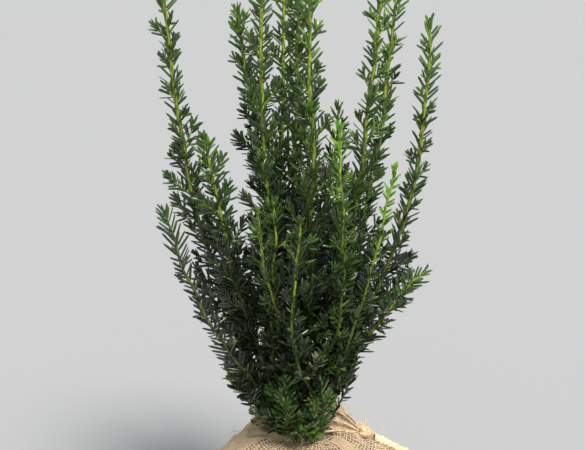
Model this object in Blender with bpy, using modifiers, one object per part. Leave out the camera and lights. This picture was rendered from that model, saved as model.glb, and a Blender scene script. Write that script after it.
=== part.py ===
"""Young Hill's yew, lifted for planting, with its root ball wrapped in jute sacking.

Metres, +Z up. The origin is the middle of the root ball's flat underside, and -Y is the front.
Places in the crown are measured from the collar, the middle of the cut where the stem leaves the ball.
"""

import math
import random

import bmesh
import bpy
import numpy as np
from mathutils import Matrix, Vector
from mathutils.bvhtree import BVHTree
from mathutils.geometry import interpolate_bezier

# Root ball: squat, with a flat foot and a small flat top that the stem stands on. It has slumped to its right:
# its left shoulder stands up by the slump, its right one hangs down as far, and its right half is wider by the
# bulge, a share.
BALL_HEIGHT = 0.225
BALL_RADIUS = 0.165
BALL_BELLY_HEIGHT = 0.105
BALL_FOOT_RADIUS = 0.114
BALL_TOP_FLAT_RADIUS = 0.045
BALL_TOP_ROUNDNESS = 1.8
BALL_FOOT_ROUNDNESS = 2.4
BALL_SLUMP = 0.014
BALL_SLUMP_RUN = 0.035
BALL_BULGE = 0.12
BALL_PROFILE_STEPS = 6
BALL_TURN_STEPS = 32

# Gap that touching pieces keep
SEAT_GAP = 0.0003

# Stem: leaves the ball a little left of its middle, leans slightly and flares at its foot
COLLAR = Vector((-0.014, 0.0, BALL_HEIGHT + SEAT_GAP))
STEM_STATIONS = ((0.0, 0.019), (0.005, 0.0165), (0.014, 0.0145), (0.03, 0.0135), (0.046, 0.0125))
STEM_LEAN = Vector((0.004, 0.002, 0.0))
STEM_HEIGHT = STEM_STATIONS[-1][0]

# Boughs: where each one's tip is from the collar, and how high up the stem it forks off
BOUGHS = {
    "bough_left_low": (Vector((-0.062, -0.006, 0.076)), 0.020),
    "bough_left": (Vector((-0.062, 0.006, 0.120)), 0.030),
    "bough_front_left": (Vector((-0.034, -0.028, 0.100)), 0.028),
    "bough_front_right": (Vector((0.012, -0.034, 0.096)), 0.024),
    "bough_centre_left": (Vector((-0.024, 0.006, 0.130)), 0.036),
    "bough_centre_right": (Vector((0.009, 0.002, 0.136)), 0.038),
    "bough_right": (Vector((0.048, 0.010, 0.140)), 0.032),
    "bough_right_low": (Vector((0.050, -0.016, 0.108)), 0.022),
    "bough_back": (Vector((-0.010, 0.046, 0.104)), 0.028),
    "bough_back_right": (Vector((0.032, 0.040, 0.100)), 0.024),
}
BOUGH_FORK_RADIUS = 0.0062
BOUGH_TIP_RADIUS = 0.0048
BOUGH_STEPS = 8
BOUGH_STUB_STEPS = 4

# Leaders: the bough each one stands on, its tip from the collar, its lean there in degrees, its foot's radius
LEADERS = {
    "shoot_left_low": ("bough_left_low", Vector((-0.197, -0.040, 0.380)), 14, 0.0021),
    "shoot_left_tall": ("bough_left", Vector((-0.197, 0.020, 0.715)), 4, 0.0024),
    "shoot_left_inner": ("bough_left", Vector((-0.142, -0.030, 0.482)), 16, 0.0020),
    "shoot_centre_left_slim": ("bough_centre_left", Vector((-0.095, 0.030, 0.650)), 8, 0.0019),
    "shoot_centre_left_tall": ("bough_centre_left", Vector((-0.058, 0.000, 0.735)), 1, 0.0027),
    "shoot_centre_back": ("bough_centre_left", Vector((-0.030, 0.080, 0.690)), 2, 0.0019),
    "shoot_centre_tall": ("bough_centre_right", Vector((-0.009, -0.010, 0.715)), 2, 0.0022),
    "shoot_centre_right_tall": ("bough_centre_right", Vector((0.005, -0.035, 0.695)), 4, 0.0021),
    "shoot_mid_right": ("bough_centre_right", Vector((0.050, 0.050, 0.514)), 4, 0.0019),
    "shoot_right_tall": ("bough_right", Vector((0.102, -0.010, 0.695)), 3, 0.0023),
    "shoot_right_back_tall": ("bough_right", Vector((0.130, 0.040, 0.680)), 6, 0.0022),
    "shoot_right_fresh": ("bough_right_low", Vector((0.126, -0.030, 0.443)), 6, 0.0018),
    "shoot_far_right": ("bough_right_low", Vector((0.170, 0.010, 0.636)), -2, 0.0023),
    "shoot_right_low": ("bough_right_low", Vector((0.183, -0.020, 0.282)), 48, 0.0020),
    "shoot_right_low_back": ("bough_right", Vector((0.162, 0.030, 0.270)), 40, 0.0018),
    "shoot_front_left": ("bough_front_left", Vector((-0.064, -0.090, 0.395)), 3, 0.0020),
    "shoot_front_mid": ("bough_front_left", Vector((-0.042, -0.060, 0.402)), 3, 0.0019),
    "shoot_front": ("bough_front_right", Vector((-0.006, -0.100, 0.383)), 8, 0.0019),
    "shoot_front_right": ("bough_front_right", Vector((0.045, -0.080, 0.506)), 6, 0.0022),
    "shoot_back_left_low": ("bough_left_low", Vector((-0.118, 0.090, 0.272)), 30, 0.0018),
    "shoot_back_left": ("bough_back", Vector((-0.084, 0.110, 0.332)), 20, 0.0018),
    "shoot_back_tall": ("bough_back", Vector((-0.044, 0.120, 0.474)), 8, 0.0020),
    "shoot_back": ("bough_back", Vector((0.004, 0.170, 0.333)), 30, 0.0018),
    "shoot_back_mid": ("bough_back_right", Vector((-0.005, 0.150, 0.509)), 10, 0.0020),
    "shoot_back_right_tall": ("bough_back_right", Vector((0.043, 0.130, 0.425)), 10, 0.0019),
    "shoot_back_right": ("bough_back_right", Vector((0.081, 0.110, 0.397)), 12, 0.0018),
    "shoot_back_right_low": ("bough_back_right", Vector((0.113, 0.090, 0.297)), 30, 0.0018),
}
LEADER_TIP_RADIUS = 0.0012
LEADER_STEP = 0.062
LEADER_START_SPREAD = 0.35

# Leaders that swing out to one side on their way up: how far in X and Y, and the powers that shape the swing
LEADER_SWINGS = {
    "shoot_left_low": (-0.012, -0.012),
    "shoot_left_inner": (-0.012, 0.0),
    "shoot_centre_left_tall": (-0.024, 0.0),
    "shoot_centre_back": (0.030, 0.0),
    "shoot_centre_right_tall": (0.008, 0.0),
    "shoot_right_back_tall": (0.021, 0.0),
    "shoot_far_right": (0.038, 0.0),
    "shoot_right_low_back": (0.018, 0.0),
    "shoot_front_mid": (0.018, 0.0),
    "shoot_front": (-0.020, 0.0),
    "shoot_front_right": (0.020, 0.0),
}
SWING_EARLINESS = 0.7
SWING_FLATNESS = 1.5
SWING_AT_FOOT = 2.0

# Low sprays: short shoots round the stem's foot, each a bearing in degrees from +X, its reach and its rise
LOW_SPRAYS = {
    "spray_right": (352, 0.080, 0.128),
    "spray_right_back": (32, 0.082, 0.080),
    "spray_back_right": (66, 0.084, 0.120),
    "spray_back": (98, 0.092, 0.070),
    "spray_back_left": (132, 0.090, 0.118),
    "spray_left_back": (162, 0.104, 0.070),
    "spray_left": (188, 0.108, 0.128),
    "spray_left_front": (216, 0.094, 0.066),
    "spray_front_left": (244, 0.076, 0.098),
    "spray_front": (272, 0.066, 0.044),
    "spray_front_right": (300, 0.070, 0.092),
    "spray_right_front": (326, 0.070, 0.054),
}
SPRAY_FOOT_HEIGHT = 0.0095
SPRAY_FOOT_RADIUS = 0.0016
SPRAY_STEPS = 5

# Slim core of each mass, for the needles that lie close along its stem: its radius by share of the way up
CORE_STATIONS = ((0.0, 0.0), (0.05, 0.0), (0.16, 0.0072), (0.5, 0.0066), (0.85, 0.0058), (1.0, 0.0))
CORE_SHARE_OF_SPACE = 0.38

# Needles: larger than life, one standing for several, flat, keeled and pointed at both ends
NEEDLE_LENGTH = 0.038
NEEDLE_WIDTH = 0.0085
NEEDLE_THICKNESS = 0.0018
NEEDLE_WIDEST_AT = 0.23
NEEDLE_STEP = 0.034
NEEDLE_LEAN = 42
NEEDLE_TIP_LEAN = 20
NEEDLE_TRIES = 7
GOLDEN_ANGLE = 137.5

# Side twigs: three-sided spindles, on the lower part of each leader
TWIG_STEP = 0.049
TWIG_SHARE_OF_DEPTH = 0.2
TWIG_SHORTEST = 0.026
TWIG_LONGEST = 0.075
TWIG_LEAN = 40
TWIG_RADIUS = 0.0075
TWIG_WIDEST_AT = 0.6
TWIG_THINNING = (1.0, 0.75, 0.5)
TWIG_NEEDLE_LENGTH = 0.032
TWIG_NEEDLES_AT = (0.62,)
SEED = "hillii"

# How finely the stems are followed when the crown is shared out among the masses, and the room left between
SPACE_STEP = 0.003
SPACE_MARGIN = 0.0007
LIMB_MARGIN = 0.001

# Sacking: a knot on the right shoulder, the two twisted bands that it ties, and the frayed corner that stands up
KNOT_PLACE = (0.080, 0.020)
KNOT_SIZE = Vector((0.016, 0.013, 0.011))
LAYING_HEIGHT = 0.004
BAND_RADIUS = 0.0078
RIGHT_BAND_STEPS = 8
RIGHT_BAND_STEP = 0.0092
RIGHT_BAND_DRIFT = 0.12
RIGHT_BAND_STATIONS = ((0.0, 0.8), (0.4, 0.85), (1.0, 1.5))
BACK_BAND_ARC = range(8, 172, 15)
BACK_BAND_HALF_WIDTH = 0.078
BACK_BAND_DEPTH = 0.062
TAIL_PLACE = (0.045, 0.016)
TAIL_HEIGHT = 0.032
TAIL_STATIONS = ((0.0, 0.0, 0.0095), (0.0, 0.15, 0.0105), (0.003, 0.45, 0.010), (0.008, 0.75, 0.007), (0.013, 1.0, 0.003))

# Colours are linear RGB with roughness
LOOKS = {
    "sacking": ((0.50, 0.34, 0.17), 0.95),
    "bark": ((0.13, 0.075, 0.04), 0.85),
    "foliage": ((0.035, 0.10, 0.022), 0.42),
    "fresh_foliage": ((0.12, 0.26, 0.03), 0.42),
}


def clear_scene():
    for thing in list(bpy.data.objects):
        bpy.data.objects.remove(thing)


def make_materials():
    made = {}
    for name, (colour, roughness) in LOOKS.items():
        material = bpy.data.materials.new(name)
        material.use_nodes = True
        shader = material.node_tree.nodes["Principled BSDF"]
        shader.inputs["Base Color"].default_value = (*colour, 1.0)
        shader.inputs["Roughness"].default_value = roughness
        shader.inputs["Metallic"].default_value = 0.0
        made[name] = material
    return made


def add_object(name, data, material, home):
    thing = bpy.data.objects.new(name, data)
    home.objects.link(thing)
    data.materials.clear()
    data.materials.append(material)
    return thing


def leaning(bearing, lean):
    """Unit vector that leans by lean radians from the vertical towards a bearing in radians from +X."""
    return Vector((math.cos(bearing) * math.sin(lean), math.sin(bearing) * math.sin(lean), math.cos(lean)))


def bearing_of(way):
    return math.atan2(way.y, way.x)


def smooth_path(start, start_way, end, end_way, steps):
    """Points along a limb that leaves start along start_way and arrives at end along end_way."""
    handle = (end - start).length / 3
    return interpolate_bezier(start, start + start_way * handle, end - end_way * handle, end, steps + 1)


def even_radii(count, first, last):
    return [first + (last - first) * i / (count - 1) for i in range(count)]


def between(stations, share):
    """The value at a share of the way along a list of (share, value)."""
    for (low, low_value), (high, high_value) in zip(stations, stations[1:]):
        if share <= high:
            return low_value + (high_value - low_value) * (share - low) / (high - low)
    return stations[-1][1]


def with_core(name, points, radii, space):
    """The radii of a mass's stem, filled out to its core where its space allows."""
    full = list(radii)
    for i in range(1, len(points)):
        share = i / (len(points) - 1)
        core = space.core_radius(name, points[i], between(CORE_STATIONS, share))
        full[i] = max(radii[i], core)
    return full


def tube(name, points, radii, material, home, roundness):
    """A limb as a curve: roundness 0 gives four sides, and each step adds two."""
    data = bpy.data.curves.new(name, "CURVE")
    data.dimensions = "3D"
    data.bevel_depth = 1.0
    data.bevel_resolution = roundness
    data.use_fill_caps = True
    spline = data.splines.new("POLY")
    spline.points.add(len(points) - 1)
    for point, place, radius in zip(spline.points, points, radii):
        point.co = (*place, 1.0)
        point.radius = radius
    return add_object(name, data, material, home)


def as_mesh(source, home):
    """The finished mesh of a curve or of a mesh with modifiers, its seams welded, as an object in its place."""
    name = source.name
    graph = bpy.context.evaluated_depsgraph_get()
    mesh = bpy.data.meshes.new_from_object(source.evaluated_get(graph))
    shape = bmesh.new()
    shape.from_mesh(mesh)
    bmesh.ops.remove_doubles(shape, verts=shape.verts, dist=1e-6)
    bmesh.ops.recalc_face_normals(shape, faces=shape.faces)
    shape.to_mesh(mesh)
    shape.free()
    material = source.data.materials[0]
    made = add_object(name + "_mesh", mesh, material, home)
    made.matrix_world = source.matrix_world
    bpy.data.objects.remove(source)
    made.name = name
    return made


def surface(thing):
    """The corners of an object's finished mesh, in world places, and its faces."""
    graph = bpy.context.evaluated_depsgraph_get()
    ready = thing.evaluated_get(graph)
    mesh = bpy.data.meshes.new_from_object(ready)
    corners = [ready.matrix_world @ vertex.co for vertex in mesh.vertices]
    faces = [tuple(face.vertices) for face in mesh.polygons]
    bpy.data.meshes.remove(mesh)
    return corners, faces


def settle(piece, base, way):
    """Moves a piece along way until it lies a seat's gap from base, and returns how far it went."""
    corners, faces = surface(piece)
    base_corners, base_faces = surface(base)
    tree = BVHTree.FromPolygons(corners, faces)
    base_tree = BVHTree.FromPolygons(base_corners, base_faces)
    runs = [base_tree.ray_cast(corner, way)[3] for corner in corners]
    runs += [tree.ray_cast(corner, -way)[3] for corner in base_corners]
    run = min(found for found in runs if found is not None)
    while BVHTree.FromPolygons([corner + way * run for corner in corners], faces).overlap(base_tree):
        run -= SEAT_GAP / 3
    travel = way * (run - SEAT_GAP)
    piece.location += travel
    return travel


def fuse(trunk_piece, others):
    """Joins every object of the collection others onto trunk_piece with one Boolean, then empties it."""
    joint = trunk_piece.modifiers.new("fuse", "BOOLEAN")
    joint.operation = "UNION"
    joint.operand_type = "COLLECTION"
    joint.collection = others
    joint.solver = "EXACT"
    graph = bpy.context.evaluated_depsgraph_get()
    fused = bpy.data.meshes.new_from_object(trunk_piece.evaluated_get(graph))
    trunk_piece.modifiers.remove(joint)
    material = trunk_piece.data.materials[0]
    fused.materials.clear()
    fused.materials.append(material)
    trunk_piece.data = fused
    for piece in list(others.objects):
        bpy.data.objects.remove(piece)


class Space:
    """Which part of the crown belongs to which mass: the part nearer to its stem than to any other stem."""

    def __init__(self):
        self.stems = {}
        self.limbs = []

    def add_stem(self, name, points):
        self.stems[name] = self.spread(points)

    def add_limb(self, points, radii):
        rows = [Vector((*place, radius)) for place, radius in zip(points, radii)]
        self.limbs.extend(self.spread(rows))

    @staticmethod
    def spread(points):
        places = []
        for first, second in zip(points, points[1:]):
            count = max(1, math.ceil((second - first).length / SPACE_STEP))
            places += [first.lerp(second, i / count) for i in range(count)]
        return np.array([*places, points[-1]])

    def finish(self):
        self.limbs = np.array(self.limbs)
        self.others = {
            name: np.concatenate([stem for other, stem in self.stems.items() if other != name])
            for name in self.stems
        }

    def core_radius(self, name, place, radius):
        """A core's radius at a place on its stem, held to its own mass's space."""
        spot = np.array(place)
        to_limb = (np.linalg.norm(self.limbs[:, :3] - spot, axis=1) - self.limbs[:, 3]).min()
        to_other = np.linalg.norm(self.others[name] - spot, axis=1).min()
        return min(radius, CORE_SHARE_OF_SPACE * to_other, 0.8 * to_limb - LIMB_MARGIN)

    def holds(self, name, places, half_widths):
        """Whether a twig or needle, given by places on it and its half width there, keeps to the space of name."""
        for place, half in zip(places, half_widths):
            spot = np.array(place)
            if spot[2] < max(COLLAR.z, ball_top(*spot[:2])) + half + LIMB_MARGIN:
                return False
            to_limb = np.linalg.norm(self.limbs[:, :3] - spot, axis=1) - self.limbs[:, 3]
            if to_limb.min() < half + LIMB_MARGIN:
                return False
            own = np.linalg.norm(self.stems[name] - spot, axis=1).min()
            other = np.linalg.norm(self.others[name] - spot, axis=1).min()
            if own + 2 * half + SPACE_MARGIN > other:
                return False
        return True


def needle_mesh():
    """A keeled needle one metre long along +Z, about one wide in X and one thick in Y, to be scaled."""
    shape = bmesh.new()
    bmesh.ops.create_uvsphere(shape, u_segments=3, v_segments=2, radius=0.58)
    bmesh.ops.rotate(shape, verts=shape.verts, matrix=Matrix.Rotation(math.pi / 2, 3, "Z"))
    for vertex in shape.verts:
        if vertex.co.z > 0.1:
            vertex.co.z = 1.0
        elif vertex.co.z < -0.1:
            vertex.co.z = 0.0
        else:
            vertex.co.z = NEEDLE_WIDEST_AT
    mesh = bpy.data.meshes.new("needle")
    shape.to_mesh(mesh)
    shape.free()
    return mesh


def twig_mesh():
    """A three-sided twig one metre long along +Z and one in radius where its needles are fullest, to be scaled."""
    shape = bmesh.new()
    bmesh.ops.create_cone(shape, cap_ends=True, segments=3, radius1=0.3, radius2=1.0, depth=TWIG_WIDEST_AT)
    bmesh.ops.translate(shape, verts=shape.verts, vec=(0, 0, TWIG_WIDEST_AT / 2))
    top = max(shape.faces, key=lambda face: face.calc_center_median().z)
    apex = bmesh.ops.poke(shape, faces=[top])["verts"][0]
    apex.co.z = 1.0
    mesh = bpy.data.meshes.new("twig")
    shape.to_mesh(mesh)
    shape.free()
    return mesh


def standing(root, way, axis, size):
    """Matrix that stands a unit piece at root along way, its flat side facing the tip of axis."""
    across = way.cross(axis).normalized()
    face = way.cross(across)
    turn = Matrix((across, face, way)).transposed().to_4x4()
    return Matrix.Translation(root) @ turn @ Matrix.Diagonal((*size, 1.0))


def around(axis, angle, lean):
    """Unit vector at lean from axis, turned round it by angle."""
    side = axis.orthogonal().normalized()
    side.rotate(Matrix.Rotation(angle, 3, axis))
    return (axis * math.cos(lean) + side * math.sin(lean)).normalized()


def add_needle(name, space, pieces, root, axis, angle, lean, length, needle):
    """Adds one needle if it keeps to its mass's space, and says whether it did."""
    way = around(axis, angle, lean)
    shares = (NEEDLE_WIDEST_AT, 0.4, 0.6, 0.8, 1.0)
    halves = [NEEDLE_WIDTH / 2 * (1 - share) / (1 - NEEDLE_WIDEST_AT) for share in shares]
    if not space.holds(name, [root + way * length * share for share in shares], halves):
        return False
    piece = bpy.data.objects.new("needle", needle)
    piece.matrix_world = standing(root, way, axis, (NEEDLE_WIDTH, NEEDLE_THICKNESS, length))
    pieces.objects.link(piece)
    return True


def add_twig(name, space, pieces, root, axis, angle, length, meshes):
    """Adds a side twig with needles on it, if it keeps to its mass's space."""
    way = around(axis, angle, math.radians(TWIG_LEAN))
    tip = root + way * length
    shares = (0.3, TWIG_WIDEST_AT, 0.8, 1.0)
    places = [root.lerp(tip, share) for share in shares]
    for part in TWIG_THINNING:
        radius = TWIG_RADIUS * part
        if space.holds(name, places, [radius * full for full in (0.6, 1.0, 0.5, 0.1)]):
            break
    else:
        return False
    twig = bpy.data.objects.new("twig", meshes["twig"])
    twig.matrix_world = standing(root, way, axis, (radius, radius, length))
    pieces.objects.link(twig)
    for turn, share in enumerate(TWIG_NEEDLES_AT):
        spot = root.lerp(tip, share)
        lean = math.radians(NEEDLE_LEAN)
        for retry in range(NEEDLE_TRIES):
            spin = angle + math.radians(180 * turn + 50 * retry)
            if add_needle(name, space, pieces, spot, way, spin, lean, TWIG_NEEDLE_LENGTH, meshes["needle"]):
                break
    return True


def dress(name, points, space, pieces, meshes, twigs_from):
    """Needles all along a stem, closing in on its tip, and side twigs below twigs_from from the tip."""
    chance = random.Random(SEED + name)
    lengths = [0.0]
    for first, second in zip(points, points[1:]):
        lengths.append(lengths[-1] + (second - first).length)
    whole = lengths[-1]

    def station(distance):
        for i, end in enumerate(lengths[1:]):
            if distance <= end or i == len(lengths) - 2:
                share = (distance - lengths[i]) / (end - lengths[i])
                return points[i].lerp(points[i + 1], share), (points[i + 1] - points[i]).normalized()

    spin = chance.uniform(0, 360)
    count = max(5, round(whole / NEEDLE_STEP))
    for i in range(count):
        below = whole * i / count
        spot, axis = station(whole - 0.004 - below)
        lean = NEEDLE_TIP_LEAN + (NEEDLE_LEAN - NEEDLE_TIP_LEAN) * min(1.0, below / (2.5 * NEEDLE_STEP))
        length = NEEDLE_LENGTH * chance.uniform(0.9, 1.08) * (0.72 if i < 2 else 1.0)
        spin += GOLDEN_ANGLE
        for retry in range(NEEDLE_TRIES):
            turn = math.radians(spin + 51 * retry)
            if add_needle(name, space, pieces, spot, axis, turn, math.radians(lean), length, meshes["needle"]):
                break
    below = twigs_from
    while below < whole - 0.01:
        spot, axis = station(whole - below)
        length = min(TWIG_LONGEST, max(TWIG_SHORTEST, TWIG_SHARE_OF_DEPTH * below)) * chance.uniform(0.8, 1.1)
        for retry in range(NEEDLE_TRIES):
            turn = math.radians(chance.uniform(0, 360))
            if add_twig(name, space, pieces, spot, axis, turn, length, meshes):
                break
        below += TWIG_STEP


def ball_profile():
    """Half outline of the ball from the top of its axis down to the foot, as (radius, height)."""
    shoulder = BALL_RADIUS - BALL_TOP_FLAT_RADIUS
    dome = BALL_HEIGHT - BALL_BELLY_HEIGHT
    outline = [(0.0, BALL_HEIGHT)]
    for i in range(BALL_PROFILE_STEPS + 1):
        angle = math.pi / 2 * i / BALL_PROFILE_STEPS
        radius = BALL_TOP_FLAT_RADIUS + shoulder * math.sin(angle) ** (2 / BALL_TOP_ROUNDNESS)
        outline.append((radius, BALL_BELLY_HEIGHT + dome * math.cos(angle) ** (2 / BALL_TOP_ROUNDNESS)))
    undercut = BALL_RADIUS - BALL_FOOT_RADIUS
    for i in range(1, BALL_PROFILE_STEPS + 1):
        angle = math.pi / 2 * i / BALL_PROFILE_STEPS
        radius = BALL_FOOT_RADIUS + undercut * math.cos(angle) ** (2 / BALL_FOOT_ROUNDNESS)
        outline.append((radius, BALL_BELLY_HEIGHT * (1 - math.sin(angle) ** (2 / BALL_FOOT_ROUNDNESS))))
    outline.append((0.0, 0.0))
    return outline


def slumped(place):
    """Where a place on the even ball lies once its right side has sunk and bulged."""
    radius = max(1e-9, math.hypot(place.x, place.y))
    clear = min(1.0, max(0.0, (radius - BALL_TOP_FLAT_RADIUS) / BALL_SLUMP_RUN))
    rise = min(1.0, place.z / BALL_BELLY_HEIGHT)
    bulge = BALL_BULGE * max(0.0, place.x) * math.sqrt(rise)
    sink = BALL_SLUMP * clear * place.x / radius * rise
    return place + Vector((bulge, 0.0, -sink))


def make_ball(material, home):
    mesh = bpy.data.meshes.new("root_ball")
    outline = ball_profile()
    mesh.from_pydata([(r, 0.0, z) for r, z in outline], [(i, i + 1) for i in range(len(outline) - 1)], [])
    turned = add_object("root_ball", mesh, material, home)
    turn = turned.modifiers.new("turn", "SCREW")
    turn.axis = "Z"
    turn.steps = turn.render_steps = BALL_TURN_STEPS
    turn.use_merge_vertices = True
    turn.merge_threshold = 1e-5
    ball = as_mesh(turned, home)
    for vertex in ball.data.vertices:
        vertex.co = slumped(vertex.co)
    return ball


def ball_top(x, y):
    """Height of the ball's upper surface, or of its belly further out."""
    even_x = x / (1 + BALL_BULGE) if x > 0 else x
    share = (math.hypot(even_x, y) - BALL_TOP_FLAT_RADIUS) / (BALL_RADIUS - BALL_TOP_FLAT_RADIUS)
    share = min(1.0, max(0.0, share))
    rise = (1 - share**BALL_TOP_ROUNDNESS) ** (1 / BALL_TOP_ROUNDNESS)
    height = BALL_BELLY_HEIGHT + (BALL_HEIGHT - BALL_BELLY_HEIGHT) * rise
    return slumped(Vector((even_x, y, height))).z


def ball_normal(x, y):
    step = 0.001
    slope_x = (ball_top(x + step, y) - ball_top(x - step, y)) / (2 * step)
    slope_y = (ball_top(x, y + step) - ball_top(x, y - step)) / (2 * step)
    return Vector((-slope_x, -slope_y, 1.0)).normalized()


def on_ball(x, y, lift):
    return Vector((x, y, ball_top(x, y))) + ball_normal(x, y) * lift


def make_cloth_piece(name, points, radii, roundness, way, ball, material, home):
    """A roll of sacking laid on the ball. Returns its points, where it came to lie, and its radii."""
    roll = as_mesh(tube(name, points, radii, material, home, roundness), home)
    travel = settle(roll, ball, way)
    return [point + travel for point in points], radii


def make_sacking(ball, material, home):
    """The knot, its two bands and the corner that stands up. Returns what the foliage keeps clear of."""
    knot_x, knot_y = KNOT_PLACE
    shape = bmesh.new()
    bmesh.ops.create_icosphere(shape, subdivisions=2, radius=1.0)
    bmesh.ops.scale(shape, verts=shape.verts, vec=KNOT_SIZE)
    mesh = bpy.data.meshes.new("cloth_knot")
    shape.to_mesh(mesh)
    shape.free()
    knot = add_object("cloth_knot", mesh, material, home)
    knot.location = on_ball(knot_x, knot_y, KNOT_SIZE.z + LAYING_HEIGHT)
    settle(knot, ball, -ball_normal(knot_x, knot_y))

    steps = range(RIGHT_BAND_STEPS)
    first = knot_x + KNOT_SIZE.x + BAND_RADIUS / 3
    right_route = [(first + RIGHT_BAND_STEP * i, knot_y + RIGHT_BAND_DRIFT * RIGHT_BAND_STEP * i) for i in steps]
    right_radii = [BAND_RADIUS * between(RIGHT_BAND_STATIONS, i / (RIGHT_BAND_STEPS - 1)) for i in steps]
    right_points = [on_ball(x, y, r + LAYING_HEIGHT) for (x, y), r in zip(right_route, right_radii)]
    right_way = -ball_normal(*right_route[len(right_route) // 2])
    right = make_cloth_piece(
        "cloth_band_right", right_points, right_radii, 1, right_way, ball, material, home
    )

    arc = [math.radians(angle) for angle in BACK_BAND_ARC]
    back_route = [
        (COLLAR.x + BACK_BAND_HALF_WIDTH * math.cos(a), knot_y + BACK_BAND_DEPTH * math.sin(a)) for a in arc
    ]
    back_radii = [BAND_RADIUS * (0.85 - 0.04 * i) for i in range(len(arc))]
    back_points = [on_ball(x, y, BAND_RADIUS + LAYING_HEIGHT) for x, y in back_route]
    down = Vector((0, 0, -1))
    back = make_cloth_piece("cloth_band_back", back_points, back_radii, 1, down, ball, material, home)

    foot = on_ball(*TAIL_PLACE, LAYING_HEIGHT)
    tail_points = [foot + Vector((lean, 0.3 * lean, rise * TAIL_HEIGHT)) for lean, rise, _ in TAIL_STATIONS]
    tail_radii = [radius for _, _, radius in TAIL_STATIONS]
    tail = make_cloth_piece("cloth_tail", tail_points, tail_radii, 2, down, ball, material, home)
    return [right, back, tail, ([knot.location.copy()], [KNOT_SIZE.x])]


def stem_middle(height):
    """The middle of the stem at a height: upright through the flare, then leaning more and more."""
    upright = STEM_STATIONS[1][0]
    share = max(0.0, height - upright) / (STEM_HEIGHT - upright)
    return COLLAR + STEM_LEAN * share**2 + Vector((0, 0, height))


def bough_paths():
    """Each bough's points from the stem's middle to its tip, in world places."""
    paths = {}
    for name, (tip, fork_height) in BOUGHS.items():
        start = stem_middle(fork_height)
        end = COLLAR + tip
        span = end - start
        bearing = bearing_of(span)
        lean = math.atan2(math.hypot(span.x, span.y), span.z)
        start_way = leaning(bearing, min(1.25, 1.45 * lean))
        end_way = leaning(bearing, 0.6 * lean)
        paths[name] = smooth_path(start, start_way, end, end_way, BOUGH_STEPS)
    return paths


def swing(name):
    return Vector((*LEADER_SWINGS.get(name, (0.0, 0.0)), 0.0))


def leader_starts(paths):
    """Where each leader stands on its bough's tip, side by side with the others there, and its first way."""
    starts = {}
    for bough, path in paths.items():
        axis = (path[-1] - path[-2]).normalized()
        across = axis.orthogonal().normalized()
        beside = axis.cross(across)
        standing_here = []
        for name, (on, tip, _, radius) in LEADERS.items():
            if on == bough:
                way = COLLAR + tip + swing(name) * SWING_AT_FOOT - path[-1]
                standing_here.append((math.atan2(way.dot(beside), way.dot(across)), name, radius))
        standing_here.sort()
        count = len(standing_here)
        first_angle = standing_here[0][0] if count else 0.0
        for i, (_, name, radius) in enumerate(standing_here):
            angle = first_angle + math.tau * i / count
            side = across * math.cos(angle) + beside * math.sin(angle)
            spread = LEADER_START_SPREAD if count > 1 else 0.0
            off = (radius + SEAT_GAP) / math.sin(math.pi / count) if count > 1 else 0.0
            start = path[-1] + axis * (SEAT_GAP + radius * spread) + side * off
            starts[name] = (start, (axis + side * spread).normalized())
    return starts


def swung(name, points):
    """A leader's points, swung out sideways between its foot and its tip."""
    last = len(points) - 1
    shares = [(i / last) ** SWING_EARLINESS for i in range(last + 1)]
    return [point + swing(name) * abs(math.sin(math.pi * t)) ** SWING_FLATNESS for point, t in zip(points, shares)]


def leader_paths(starts):
    paths = {}
    for name, (_, tip, tip_lean, _) in LEADERS.items():
        start, start_way = starts[name]
        end = COLLAR + tip
        end_way = leaning(bearing_of(end - start), math.radians(tip_lean))
        steps = max(4, round((end - start).length / LEADER_STEP))
        paths[name] = swung(name, smooth_path(start, start_way, end, end_way, steps))
    return paths


def spray_paths(stem):
    """Each low spray's points, from a seat's gap off the stem's skin to its tip."""
    tree = BVHTree.FromPolygons(*surface(stem))
    up = Vector((0, 0, 1))
    paths = {}
    for name, (bearing_deg, reach, rise) in LOW_SPRAYS.items():
        bearing = math.radians(bearing_deg)
        out = Vector((math.cos(bearing), math.sin(bearing), 0.0))
        foot = stem_middle(SPRAY_FOOT_HEIGHT)
        across = out.cross(up)
        around_foot = [side * SPRAY_FOOT_RADIUS for side in (across, -across, up, -up, 0 * up)]
        runs = [tree.ray_cast(foot + out * reach + off, -out)[3] for off in around_foot]
        start = foot + out * (reach - min(runs) + SEAT_GAP)
        end = COLLAR + out * reach + Vector((0, 0, rise))
        lean = math.atan2(reach, rise)
        start_way = leaning(bearing, math.radians(86))
        paths[name] = smooth_path(start, start_way, end, leaning(bearing, 0.55 * lean), SPRAY_STEPS)
    return paths


def make_stem(paths, material, home, scrap):
    """The stem with its flared foot and the stubs that its boughs go on from, fused into one piece."""
    points = [stem_middle(height) for height, _ in STEM_STATIONS]
    radii = [radius for _, radius in STEM_STATIONS]
    stem = as_mesh(tube("trunk", points, radii, material, home, 2), home)
    bough_radii = even_radii(BOUGH_STEPS + 1, BOUGH_FORK_RADIUS, BOUGH_TIP_RADIUS)
    for name, path in paths.items():
        stub = path[: BOUGH_STUB_STEPS + 1]
        as_mesh(tube(name + "_stub", stub, bough_radii[: len(stub)], material, scrap, 1), scrap)
    fuse(stem, scrap)
    return stem, (points, radii), bough_radii


def make_bough(name, path, radii, material, home):
    """The part of a bough past its stub, starting a seat's gap further on."""
    kept = path[BOUGH_STUB_STEPS:]
    way = (kept[1] - kept[0]).normalized()
    turn = way.angle(path[BOUGH_STUB_STEPS] - path[BOUGH_STUB_STEPS - 1])
    gap = SEAT_GAP + radii[BOUGH_STUB_STEPS] * math.sin(turn)
    points = [kept[0] + way * gap, *kept[1:]]
    tube(name, points, radii[BOUGH_STUB_STEPS:], material, home, 1)


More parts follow.
